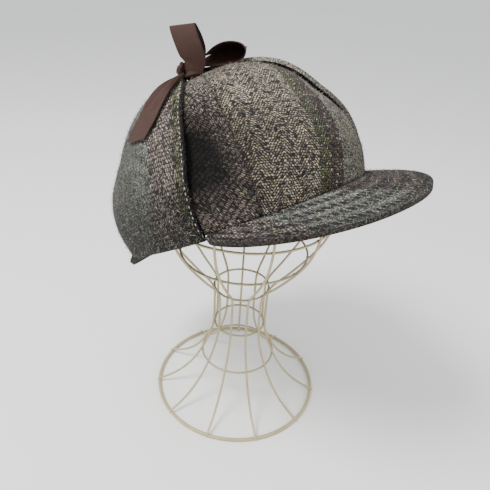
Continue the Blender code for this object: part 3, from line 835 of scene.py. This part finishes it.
def wool(name, points, count, seed, cloth, light=1.0):
    """Loose fibres standing on the outer face of a grid of points, in one mesh."""
    rng = np.random.default_rng(seed)
    rows, columns = points.shape[:2]
    normals = grid_normals(points)
    cells = np.linalg.norm(np.cross(points[:-1, 1:] - points[:-1, :-1],
                                    points[1:, :-1] - points[:-1, :-1]), axis=-1)
    picked = rng.choice(cells.size, count, p=cells.ravel() / cells.sum())
    r, c = np.divmod(picked, columns - 1)
    u, v = rng.random((2, count, 1))
    def read(grid):
        return ((grid[r, c] * (1 - u) + grid[r, c + 1] * u) * (1 - v)
                + (grid[r + 1, c] * (1 - u) + grid[r + 1, c + 1] * u) * v)
    base, normal = read(points), unit(read(normals))
    lean = unit(np.cross(normal, rng.normal(size=(count, 3))))
    stand = rng.random((count, 1)) ** 1.5
    heading = unit(normal * (0.15 + stand) + lean * (1.1 - 0.5 * stand))
    length = WOOL_LENGTH * (0.25 + 0.75 * rng.random((count, 1)) ** 2)
    curl = np.cross(heading, lean) * rng.normal(size=(count, 1)) * 0.5 - normal * 0.25
    side = unit(np.cross(heading, normal + lean * 0.3)) * WOOL_HALF_WIDTH
    steps = np.array((0.0, 0.35, 0.7, 1.0))
    spine = [base - normal * 0.2 * MM + (heading * t + curl * t * t) * length for t in steps]
    strands = np.stack([spine[0] - side, spine[0] + side, spine[1] - side, spine[1] + side,
                        spine[2] - side * 0.8, spine[2] + side * 0.8, spine[3]], axis=1)
    first = np.arange(count)[:, None] * 7
    quads = np.concatenate([first + (0, 1, 3, 2), first + (2, 3, 5, 4)])
    tips = first + (4, 5, 6)
    mesh = bpy.data.meshes.new(name)
    mesh.from_pydata(strands.reshape(-1, 3).tolist(), [], quads.tolist() + tips.tolist())
    tone = mesh.attributes.new("tone", "FLOAT_VECTOR", "POINT")
    # Each fibre's tone is darkened by the painted shade of the cloth under it.
    lit = read(np.broadcast_to(light, points.shape[:2])[..., None])[:, 0]
    shades = np.repeat(rng.random(count) * lit, 7)
    tone.data.foreach_set("vector", np.repeat(shades, 3).astype(np.float32))
    return show(name, mesh, [finish_once("wool_fibre", fibre_finish, cloth)], "tweed")


def welded(mesh, distance):
    """A mesh opened for editing, with its doubled points joined."""
    work = bmesh.new()
    work.from_mesh(mesh)
    bmesh.ops.remove_doubles(work, verts=work.verts, dist=distance)
    return work


def written(work, mesh):
    """Close an edited mesh."""
    work.to_mesh(mesh)
    work.free()
    return mesh


def join_meshes(name, parts):
    """Several meshes as one."""
    joined = bmesh.new()
    for part in parts:
        joined.from_mesh(part)
        bpy.data.meshes.remove(part)
    return written(joined, bpy.data.meshes.new(name))


def finish_once(name, make, settings):
    """A material, made on its first use."""
    return bpy.data.materials.get(name) or make(name, settings)


def tweed_piece(cloth, node, mesh, thickness, points, fibres, seed, light=1.0):
    """One piece of the hat's cloth, in place of its node, and the wool on its outer face."""
    mesh = finished(mesh, *cloth_steps(thickness))
    mesh.transform(hat_matrix())
    tweeds = [finish_once("herringbone_tweed", tweed_finish, cloth),
              finish_once("tweed_edge", tweed_edge_finish, cloth)]
    return (show(f"{node}_tweed", mesh, tweeds, "tweed", node),
            wool(f"{node}_wool", seat(points), fibres, seed, cloth, light))


# ---- crown shape
def crown_radius_share(rise):
    """How wide the crown is, as a share of its rim."""
    lean = np.radians(90.0 * rise)
    height_share = np.clip(np.sin(lean) / CROWN_BULGE_TOP, 0.0, 1.0)
    return (np.maximum(np.cos(lean), 0.0) ** CROWN_ROUNDNESS
            * (1.0 + CROWN_BULGE * np.sin(math.pi * height_share)))


def plain_crown(turn, rise):
    """Points on the crown before anything pulls it in."""
    share = crown_radius_share(np.maximum(rise, 0.0))
    angle = np.radians(turn)
    return xyz(RIM_HALF_WIDTH * share * np.sin(angle),
               -RIM_HALF_LENGTH * share * np.cos(angle),
               CROWN_HEIGHT * np.sin(np.radians(90.0 * rise)))


def crown_normal(turn, rise):
    small = 0.01
    rise = np.clip(rise, small, 1.0 - 2 * small)
    return unit(np.cross(plain_crown(turn + 1.0, rise) - plain_crown(turn - 1.0, rise),
                         plain_crown(turn, rise + small) - plain_crown(turn, rise - small)))


def hollows(table, turn, rise):
    """How deep the soft hollows of a table are, all together."""
    depth = 0.0
    for middle_turn, middle_rise, deepest, turn_spread, rise_spread in table:
        side = (turn - middle_turn + 180.0) % 360.0 - 180.0
        depth = depth + deepest * np.exp(-(side / turn_spread) ** 2
                                         - ((rise - middle_rise) / rise_spread) ** 2)
    return depth


def crown_point(turn, rise, lift=0.0):
    """Points on the crown as the ribbon pulls it in, or lifted off it."""
    turn, rise = np.broadcast_arrays(np.asarray(turn, float), np.asarray(rise, float))
    lift = lift - hollows(PULLS, turn, rise)
    return plain_crown(turn, rise) + crown_normal(turn, rise) * lift[..., None]


def even_rises(count, top):
    """Rises at even steps of the way up the crown."""
    fine = np.linspace(0.0, top, 400)
    run = way(plain_crown(np.zeros_like(fine), fine), 0)
    return np.interp(np.linspace(0.0, run[-1], count), run, fine)


def hat_up_at(places):
    """The way straight out of the crown at points on it."""
    return unit(places / np.array((RIM_HALF_WIDTH, RIM_HALF_LENGTH, CROWN_HEIGHT)) ** 2)


# ---- the crown
class DEERSTALKER_OT_crown(bpy.types.Operator):
    """Sew the six panels of the crown into one dented dome of tweed"""

    bl_idname = "deerstalker.crown"
    bl_label = "Crown"

    def execute(self, context):
        cloth = context.scene.deerstalker_cloth
        turns = FIRST_SEAM + np.linspace(0.0, 360.0, CROWN_COLUMNS + 1)
        rises = even_rises(CROWN_ROWS, CROWN_TOP)
        rises[0] = -HEM_DROP
        turn, rise = np.meshgrid(turns, rises)
        points = crown_point(turn, rise, -hollows(DENTS, turn, rise))
        run = way(points, 1) / MM
        up = (way(points, 0) / MM).mean(axis=1, keepdims=True) + 0.0 * turn
        swell = (softness(run[:1], up, 1.0) * CROWN_SWELL
                 * np.sin(math.pi * np.clip(rise * 1.04, 0.0, 1.0)))
        points += grid_normals(points) * swell[..., None]
        points[:, -1] = points[:, 0]

        per_gore = CROWN_COLUMNS // GORES
        gore = np.arange(CROWN_COLUMNS) // per_gore
        lines = run[:, ::per_gore // 2]     # by turns a seam and the middle of a panel
        start, middle, end = (
            np.stack([lines[:-1, 2 * gore + k]] * 2 + [lines[1:, 2 * gore + k]] * 2, axis=2)
            for k in range(3))
        across, along = corners(run) - middle, corners(up)
        # Way to the nearest seam or to the hem; the finish paints shade along both.
        seam = np.minimum(np.minimum(corners(run) - start, end - corners(run)), along)
        band, follow, least, lean, pale, fine_across, fine_along = (
            column[gore][None, :, None] for column in np.array(GORE_CUTS).T)
        cut = np.hypot(1.0, lean)
        straight = (across - lean * along) / cut
        up_cut = (along + lean * across) / cut
        # Painted shade in the crown's folds, kept in the look and passed on to the fibres.
        light = 1.0 - np.minimum(hollows(SHADES, turn, rise), DARKEST)
        bands = np.maximum(straight * follow + band, least)
        mesh = grid_mesh("crown_sheet", points, {
            "cloth": xyz(straight * fine_across + gore[None, :, None] * PANEL_STEP,
                         up_cut * fine_along, seam),
            "check": xyz(bands, up_cut + CROWN_CHECK_START, seam),
            "look": xyz(pale, corners(light), 0.0)})
        work = welded(mesh, 0.02 * MM)
        hole = [edge for edge in work.edges
                if edge.is_boundary and edge.verts[0].co.z > CROWN_HEIGHT / 2]
        bmesh.ops.contextual_create(work, geom=hole)
        tweed_piece(cloth, "crown", written(work, mesh), CROWN_CLOTH, points,
                    cloth.fuzz, 11, light)
        return {"FINISHED"}


# ---- the peaks
def peak_grid(middle, half_turn, reach, droop, side_droop, curl, squareness):
    """Points of a peak from the crown's seam outward, and how far out each lies."""
    ahead = -math.cos(math.radians(middle))
    share = np.linspace(-1.0, 1.0, PEAK_COLUMNS + 1)
    share = np.copysign(1.0 - (1.0 - np.abs(share)) ** PEAK_CROWDING, share)
    turn = np.radians(middle + half_turn * share)
    seam = xyz(RIM_HALF_WIDTH * np.sin(turn), -RIM_HALF_LENGTH * np.cos(turn), -SEAM_GAP)
    out = unit(xyz(np.sin(turn) / RIM_HALF_WIDTH, -np.cos(turn) / RIM_HALF_LENGTH, 0.0))
    out[:, 1] += ahead * (1.0 - np.abs(share) ** PEAK_END_POWER)
    out = unit(out)
    width = reach * np.maximum(1.0 - np.abs(share) ** squareness, 0.0) ** 0.5
    width = np.maximum(width, PEAK_CORNER)
    outward = np.linspace(0.0, 1.0, PEAK_ROWS + 1)[:, None]
    distance = (width + PEAK_TUCK) * outward - PEAK_TUCK
    clear = np.maximum(distance, 0.0)
    points = seam + out * distance[..., None]
    points[..., 2] -= ((droop + side_droop * (seam[:, 0] / RIM_HALF_WIDTH) ** 2) * clear
                       + curl * clear ** 2 / PEAK_CURL_REACH)
    return points, distance


def peak_bands(across, along, number):
    """Band places on a peak: the front one's bands spread like a fan."""
    if number:
        return across * REAR_BAND_SLOPE + REAR_BAND_START
    first, second = (start + slope * along for start, slope in PEAK_BAND_LINES)
    share = (across - first) / (second - first)
    return np.interp(share, (-1.2, 0.0, 1.0, 1.6), (103.0, GREY_BAND, 0.0, -11.0))


class DEERSTALKER_OT_peaks(bpy.types.Operator):
    """Shape the two stiffened peaks, front and rear"""

    bl_idname = "deerstalker.peaks"
    bl_label = "Peaks"

    def execute(self, context):
        cloth = context.scene.deerstalker_cloth
        for number, (name, ahead) in enumerate((("front_peak", -1.0), ("rear_peak", 1.0))):
            points, distance = peak_grid(*PEAKS[name])
            points, distance = points[:, ::-1], distance[:, ::-1]
            across, along = points[..., 0] / MM, ahead * points[..., 1] / MM
            seam = (distance + PEAK_TUCK) / MM + 0.0 * across
            edge = seam[-1:] - seam
            swell = (softness(across, along, 4.0 + number) * PEAK_SWELL
                     * np.clip(distance / (10 * MM), 0, 1))
            points = points + grid_normals(points) * swell[..., None]
            # Painted shade towards the outer edge, the seam and the wearer's right; painted light
            # over the whole peak.
            light = (np.clip(0.35 + edge / 14.0, 0.0, 1.0) * np.clip(0.45 + seam / 9.0, 0.0, 1.0)
                     * np.interp(across, *PEAK_NEAR_END_LIGHT) * PEAK_LIGHT)
            bands = peak_bands(across, along, number)
            mesh = grid_mesh(name, points, {
                "cloth": corners(xyz(across + PEAK_STEP, along, seam + 3.0)),
                "check": corners(xyz(bands, seam + PEAK_CHECK_START, edge)),
                "look": corners(xyz(PALE_SHARE, light, 1.0))})
            tweed_piece(cloth, name, mesh, PEAK_CLOTH, points, cloth.fuzz // 5, 21 + number)
        return {"FINISHED"}


# ---- the flaps
def flap_point(side, rise, share, extra=0.0):
    """Points on a folded flap's outer face: share is 0 at its front edge, 1 at its rear."""
    front = table_read(FLAP_ROWS, rise, 1)
    if side > 0:
        front = front - FAR_FLAP_FORWARD * np.sin(math.pi * rise)
    rear = table_read(FLAP_ROWS, rise, 2)
    lift = table_read(FLAP_ROWS, rise, 3)
    return crown_point(side * (front + (rear - front) * share), rise, lift + extra)


def stitch_line(name, places, normals, material):
    """Short stitches of thread along a line, in one mesh."""
    parts = []
    for i in range(len(places) - 1):
        ahead = Vector(places[i + 1] - places[i]).normalized()
        up = Vector(normals[i])
        side = up.cross(ahead).normalized()
        up = ahead.cross(side)
        bead = bmesh.new()
        bmesh.ops.create_uvsphere(bead, u_segments=8, v_segments=6, radius=1.0)
        turned = Matrix((side, ahead, up)).transposed().to_4x4()
        bead.transform(Matrix.Translation(Vector(places[i])) @ turned
                       @ Matrix.Diagonal((*STITCH_HALF_SIZE, 1.0)))
        parts.append(written(bead, bpy.data.meshes.new("stitch")))
    return show(name, join_meshes(name, parts), [material], "tweed")


class DEERSTALKER_OT_flaps(bpy.types.Operator):
    """Fold both ear flaps up over the crown and stitch along their front edges"""

    bl_idname = "deerstalker.flaps"
    bl_label = "Ear flaps"

    def execute(self, context):
        cloth = context.scene.deerstalker_cloth
        thread = finish_once("sewing_thread", thread_finish, cloth)
        for side, name in ((-1, "ear_flap_right"), (1, "ear_flap_left")):
            share, rise = np.meshgrid(
                np.linspace(0.0, 1.0, FLAP_COLUMNS + 1),
                np.linspace(0.0, FLAP_ROWS[-1][0], FLAP_GRID_ROWS + 1))
            points = flap_point(side, rise, share)
            hem = points[:1] - np.array((0.0, 0.0, FLAP_HEM_DROP))
            roll = [hem + (points[:1] - hem) * t for t in (0.0, 0.5)]
            points = np.concatenate([*roll, points])
            across, along = way(points, 1) / MM, way(points, 0) / MM
            edge = np.minimum(np.minimum(across, across[:, -1:] - across), along[-1:] - along)
            swell = (softness(across, along, 7.0 + side) * FLAP_SWELL
                     * np.clip(edge / 14.0, 0.0, 1.0))
            points, across, along, edge, swell = (
                grid[:, ::-1] for grid in (points, across, along, edge, swell))
            points = points + grid_normals(points) * swell[..., None]
            mauve = across / np.interp(along[:, :1], *FLAP_GREY_START)
            band = np.maximum(FLAP_BAND_START - mauve * (FLAP_BAND_START - GREY_BAND), 2.0)
            # Painted shade towards the flap's foot and the rear of its grey band, painted light
            # towards its top.
            light = np.interp(along, *FLAP_LIGHT) * np.interp(band, *FLAP_BAND_LIGHT)
            # Painted shade on the near flap's front edge, painted light on the far flap's front
            # edge.
            light = light * np.where(across < 0.1, 1.5 if side > 0 else 0.3, 1.0)
            mesh = grid_mesh(name, points, {
                "cloth": corners(xyz(across * 1.25 + FLAP_STEP + PANEL_STEP * side,
                                     along * 1.05, edge + 9.0)),
                "check": corners(xyz(band, along + FLAP_CHECK_START, edge)),
                "look": corners(xyz(PALE_SHARE, light, 0.0))})
            flap, fluff = tweed_piece(cloth, name, mesh, FLAP_CLOTH, points,
                                      cloth.fuzz // 2, 31 + side)
            up = np.linspace(*STITCHED_RISES, 240)
            near = flap_point(side, up, 0.0, STITCH_LIFT)
            inner = flap_point(side, up, 0.1, STITCH_LIFT)
            line = near + unit(inner - near) * STITCH_INSET
            run = way(line, 0)
            spots = np.arange(2.0 * MM, run[-1], STITCH_PITCH)
            spots = spots + np.sin(spots * 2100.0) * STITCH_DRIFT
            line = xyz(*(np.interp(spots, run, line[:, k]) for k in range(3)))
            out = hat_up_at(line) @ np.array(hat_matrix())[:3, :3].T
            stitches = stitch_line(f"{name}_stitches", seat(line), out, thread)
        return {"FINISHED"}


# ---- ribbons
def ribbon_mesh(name, grid):
    """A ribbon through a grid whose columns run along it."""
    across, along = way(grid, 1) / MM, way(grid, 0) / MM
    edge = np.minimum(across, across[:, -1:] - across)
    mesh = grid_mesh(name, grid, {"cloth": corners(xyz(across, along, edge))})
    return finished(mesh, *cloth_steps(RIBBON_CLOTH, 0.0))


def over_crown(x, y, lift):
    """Points lifted off the crown above places in the plane of its rim."""
    turn = np.degrees(np.arctan2(x / RIM_HALF_WIDTH, -y / RIM_HALF_LENGTH))
    share = np.hypot(x / RIM_HALF_WIDTH, y / RIM_HALF_LENGTH)
    rise = np.degrees(np.arccos(share ** (1.0 / CROWN_ROUNDNESS))) / 90.0
    return crown_point(turn, rise, lift)


def pleats(width, share):
    """Height of the soft folds that a ribbon has where it is drawn narrow."""
    spare = np.sqrt(np.clip(RIBBON_WIDTH / width - 1.0, 0.0, 1.2))
    return (width / (math.pi * RIBBON_PLEATS) * 0.9 * spare
            * np.cos(2.0 * math.pi * RIBBON_PLEATS * share))


def lying_ribbon(table, slant):
    """Grid of a ribbon laid over the crown; a slant cuts its loose end at an angle."""
    def at(places):
        return over_crown(*np.moveaxis(smooth_read(table[:, :3], places), -1, 0))
    spans = len(table) - 1
    length = np.linalg.norm(np.diff(table[:, :2], axis=0), axis=1).sum()
    share, row = np.meshgrid(np.linspace(-0.5, 0.5, RIBBON_COLUMNS + 1),
                             np.arange(RIBBON_ROWS + 1))
    along = row / RIBBON_ROWS * (1.0 - slant * (0.5 - share) * RIBBON_WIDTH / length) * spans
    here = at(along)
    width = smooth_read(table[:, 3], along)
    up = hat_up_at(here)
    forward = at(np.minimum(along + 0.1, spans)) - at(np.maximum(along - 0.1, 0.0))
    side = unit(np.cross(forward, up))
    return here + side * (width * share)[..., None] + up * pleats(width, share)[..., None]


class DEERSTALKER_OT_tails(bpy.types.Operator):
    """Lay the loose ribbon ends and the far flap's ribbon over the crown"""

    bl_idname = "deerstalker.tails"
    bl_label = "Ribbon ends"

    def execute(self, context):
        ribbon = finish_once("ribbed_ribbon", ribbon_finish, context.scene.deerstalker_ribbon)
        for node, table, slant, length, rest in (
                ("ribbon_tail_near", NEAR_TAIL, TAIL_SLANT, 93.0 * MM, "ear_flap_right_tweed"),
                ("ribbon_tail_back", BACK_TAIL, TAIL_SLANT, 91.0 * MM, "crown_tweed"),
                ("ribbon_strap_far", FAR_STRAP, 0.0, 56.0 * MM, "ear_flap_left_tweed")):
            mesh = ribbon_mesh(node, lying_ribbon(table, slant))
            mesh.transform(hat_matrix())
            piece = show(f"{node}_cloth", mesh, [ribbon], "ribbon", node)
        return {"FINISHED"}


def bow_place(across, up, away):
    """From the bow's own ways to the scene's."""
    azimuth = math.radians(BOW_FACING)
    knot = np.array(hat_matrix() @ Vector(KNOT_PLACE))
    return (knot + across[..., None] * np.array((math.cos(azimuth), math.sin(azimuth), 0.0))
            + up[..., None] * np.array((0.0, 0.0, 1.0))
            + away[..., None] * np.array((-math.sin(azimuth), math.cos(azimuth), 0.0)))


def loop_path(table):
    """Even steps along a loop of ribbon."""
    return smooth_read(table, np.linspace(0.0, len(table) - 1.0, LOOP_ROWS))[:, None, :]


def upright_loop():
    """The loop that stands up, its ribbon rolling as it goes."""
    path = loop_path(UPRIGHT_LOOP)
    share = np.linspace(-1.0, 1.0, RIBBON_COLUMNS + 1)[None, :]
    roll = np.radians(path[..., 4])
    side = unit(xyz(np.cos(roll), np.sin(roll), UPRIGHT_LOOP_TURN * np.cos(roll)))
    place = path[..., :3] + side * (path[..., 3] * share)[..., None]
    return bow_place(*np.moveaxis(place, -1, 0))


def side_loop():
    """The loop that lies to the side, drawn together at its far edge."""
    path = loop_path(SIDE_LOOP)
    share = np.linspace(0.0, 1.0, RIBBON_COLUMNS + 1)[None, :]
    start, slope = SIDE_LOOP_MIDDLE
    middle = start + slope * path[..., 0]
    squeeze = 1.0 - path[..., 4] * (1.0 - SIDE_LOOP_PINCH) * share ** 2
    return bow_place(path[..., 0] + 0.0 * share, middle + (path[..., 1] - middle) * squeeze,
                     path[..., 2] + 2.0 * path[..., 3] * share)


class DEERSTALKER_OT_bow(bpy.types.Operator):
    """Tie the knot and stand its two loops"""

    bl_idname = "deerstalker.bow"
    bl_label = "Bow"

    def execute(self, context):
        ribbon = finish_once("ribbed_ribbon", ribbon_finish, context.scene.deerstalker_ribbon)
        for node, grid, length in (("bow_loop_upright", upright_loop(), 78.0 * MM),
                                   ("bow_loop_side", side_loop(), 94.0 * MM)):
            piece = show(f"{node}_cloth", ribbon_mesh(node, grid), [ribbon], "ribbon", node)
        turn, rise = np.meshgrid(np.linspace(0.0, 2.0 * math.pi, KNOT_COLUMNS + 1),
                                 np.linspace(-1.0, 1.0, KNOT_ROWS + 1))
        bulge = 1.0 + 0.05 * np.cos(3.0 * rise * math.pi + 0.6 * np.sin(turn * 2.0))
        lean = rise * math.pi / 2.0
        ball = xyz(np.cos(lean) * np.cos(turn), np.cos(lean) * np.sin(turn), np.sin(lean))
        yarns = {"cloth": corners(xyz(rise * 10.0, turn * 5.0, 0.0))}
        folds = []
        for *sizes, turned, tipped in KNOT_FOLDS:
            fold = grid_mesh("fold", ball * bulge[..., None] * sizes[3:], yarns)
            work = welded(fold, 0.01 * MM)
            work.transform(Matrix.Translation(Vector(KNOT_PLACE) + Vector(sizes[:3]))
                           @ Matrix.Rotation(math.radians(turned), 4, "Z")
                           @ Matrix.Rotation(math.radians(tipped), 4, "Y"))
            folds.append(written(work, fold))
        mesh = join_meshes("knot", folds)
        mesh.transform(hat_matrix())
        show("ribbon_knot_cloth", mesh, [ribbon], "ribbon", "ribbon_knot")
        return {"FINISHED"}


# ---- stand
def wire_mesh(points, radius, closed=False):
    """A round wire along points."""
    curve = bpy.data.curves.new("wire", "CURVE")
    curve.dimensions = "3D"
    curve.bevel_depth = radius
    curve.bevel_resolution = 4
    curve.use_fill_caps = True
    spline = curve.splines.new("POLY")
    spline.points.add(len(points) - 1)
    spline.points.foreach_set("co", np.column_stack([points, np.ones(len(points))]).ravel())
    spline.use_cyclic_u = closed
    mesh = baked(linked("wire", curve))
    bpy.data.curves.remove(curve)
    return mesh


def ring_points(radius, height):
    angle = math.radians(FIRST_RIB_ANGLE) + np.linspace(0.0, 2.0 * math.pi, RING_POINTS + 1)[:-1]
    return xyz(radius * np.cos(angle), radius * np.sin(angle), height)


def ring_place(number):
    """Radius and height of a ring that lies inside the ribs at a row of their profile."""
    radius, height, _ = RIB_PROFILE[number]
    below = RIB_PROFILE[number - 1]
    above = RIB_PROFILE[min(number + 1, len(RIB_PROFILE) - 1)]
    run = Vector((above[0] - below[0], above[1] - below[1])).normalized()
    inward = RIB_WIRE + RING_WIRE - WELD_DEPTH
    return radius - run.y * inward, height + run.x * inward


class DEERSTALKER_OT_stand(bpy.types.Operator):
    """Bend and solder the painted wires of the stand"""

    bl_idname = "deerstalker.stand"
    bl_label = "Wire stand"

    def execute(self, context):
        bend = smooth_read(RIB_PROFILE[:, :2], np.linspace(0.0, len(RIB_PROFILE) - 1.0, RIB_POINTS))
        parts = [wire_mesh(ring_points(BASE_RADIUS, BASE_WIRE), BASE_WIRE, True)]
        crossings = [BASE_CROSSING]
        for number, (_, _, crossed) in enumerate(RIB_PROFILE):
            if crossed:
                radius, height = ring_place(number)
                parts.append(wire_mesh(ring_points(radius, height), RING_WIRE, True))
                crossings.append((radius, height))
        for index in range(RIB_COUNT):
            angle = math.radians(FIRST_RIB_ANGLE + 360.0 * index / RIB_COUNT)
            x, y = math.cos(angle), math.sin(angle)
            parts.append(wire_mesh(xyz(bend[:, 0] * x, bend[:, 0] * y, bend[:, 1]), RIB_WIRE))
            for radius, height in crossings:
                drop = bmesh.new()
                bmesh.ops.create_icosphere(drop, subdivisions=2, radius=SOLDER_RADIUS)
                drop.transform(Matrix.Translation((radius * x, radius * y, height)))
                parts.append(written(drop, bpy.data.meshes.new("solder")))
        mesh = join_meshes("wire_stand_paint", parts)
        mesh.transform(Matrix.Translation(STAND_PLACE))
        paint = finish_once("cream_wire_paint", wire_finish, context.scene.deerstalker_stand)
        show("wire_stand_paint", mesh, [paint], "painted_wire", "wire_stand")
        return {"FINISHED"}


# ---- stage
def area_light(name, place, power, width):
    """A round lamp that faces the hat."""
    data = bpy.data.lights.new(name, "AREA")
    data.energy = power
    data.shape = "DISK"
    data.size = width
    lamp = linked(name, data)
    lamp.location = place
    lamp.rotation_euler = (Vector(LIT_POINT) - lamp.location).to_track_quat("-Z", "Y").to_euler()


class DEERSTALKER_OT_stage(bpy.types.Operator):
    """Set the floor, the lights and the camera"""

    bl_idname = "deerstalker.stage"
    bl_label = "Stage"

    def execute(self, context):
        scene, stage = context.scene, context.scene.deerstalker_stage
        bpy.ops.mesh.primitive_circle_add(vertices=96, radius=FLOOR_RADIUS, fill_type="NGON",
                                          location=(0.0, 0.0, -FLOOR_DROP))
        floor = context.object
        floor.name = "floor"
        floor.data.materials.append(finish_once("floor", floor_finish, stage))
        area_light("key", KEY_PLACE, stage.key, KEY_WIDTH)
        area_light("fill", FILL_PLACE, stage.fill, FILL_WIDTH)
        world = bpy.data.worlds.new("studio")
        world.use_nodes = True
        background = world.node_tree.nodes["Background"]
        background.inputs["Color"].default_value = SKY_COLOUR
        background.inputs["Strength"].default_value = stage.sky
        scene.world = world

        data = bpy.data.cameras.new("camera")
        data.sensor_width = CAMERA_SENSOR
        data.lens = CAMERA_LENS
        data.clip_start, data.clip_end = CAMERA_RANGE
        camera = linked("camera", data)
        right, up = Vector(CAMERA_RIGHT), Vector(CAMERA_UP)
        turned = Matrix((right, up, right.cross(up))).transposed().to_4x4()
        camera.matrix_world = Matrix.Translation(CAMERA_PLACE) @ turned
        scene.camera = camera
        return {"FINISHED"}


class DEERSTALKER_PT_panel(bpy.types.Panel):
    """Buttons for each piece of the hat and its stand"""

    bl_idname = "DEERSTALKER_PT_panel"
    bl_label = "Deerstalker"
    bl_space_type = "VIEW_3D"
    bl_region_type = "UI"
    bl_category = "Hat"

    def draw(self, context):
        for operator in OPERATORS:
            self.layout.operator(operator.bl_idname)
        for name in SETTINGS:
            settings = getattr(context.scene, name)
            box = self.layout.box()
            for key in settings.__annotations__:
                box.prop(settings, key)


SETTINGS = {
    "deerstalker_cloth": DeerstalkerCloth,
    "deerstalker_ribbon": DeerstalkerRibbon,
    "deerstalker_stand": DeerstalkerStand,
    "deerstalker_stage": DeerstalkerStage,
}
OPERATORS = (
    DEERSTALKER_OT_stage,
    DEERSTALKER_OT_stand,
    DEERSTALKER_OT_crown,
    DEERSTALKER_OT_peaks,
    DEERSTALKER_OT_flaps,
    DEERSTALKER_OT_bow,
    DEERSTALKER_OT_tails,
)


def register():
    for group in SETTINGS.values():
        bpy.utils.register_class(group)
    for name, group in SETTINGS.items():
        setattr(bpy.types.Scene, name, bpy.props.PointerProperty(type=group))
    for operator in (*OPERATORS, DEERSTALKER_PT_panel):
        bpy.utils.register_class(operator)


def unregister():
    for operator in (DEERSTALKER_PT_panel, *reversed(OPERATORS)):
        bpy.utils.unregister_class(operator)
    for name, group in SETTINGS.items():
        delattr(bpy.types.Scene, name)
        bpy.utils.unregister_class(group)


def main():
    register()
    for operator in OPERATORS:
        group, name = operator.bl_idname.split(".")
        getattr(getattr(bpy.ops, group), name)()


if __name__ == "__main__":
    main()
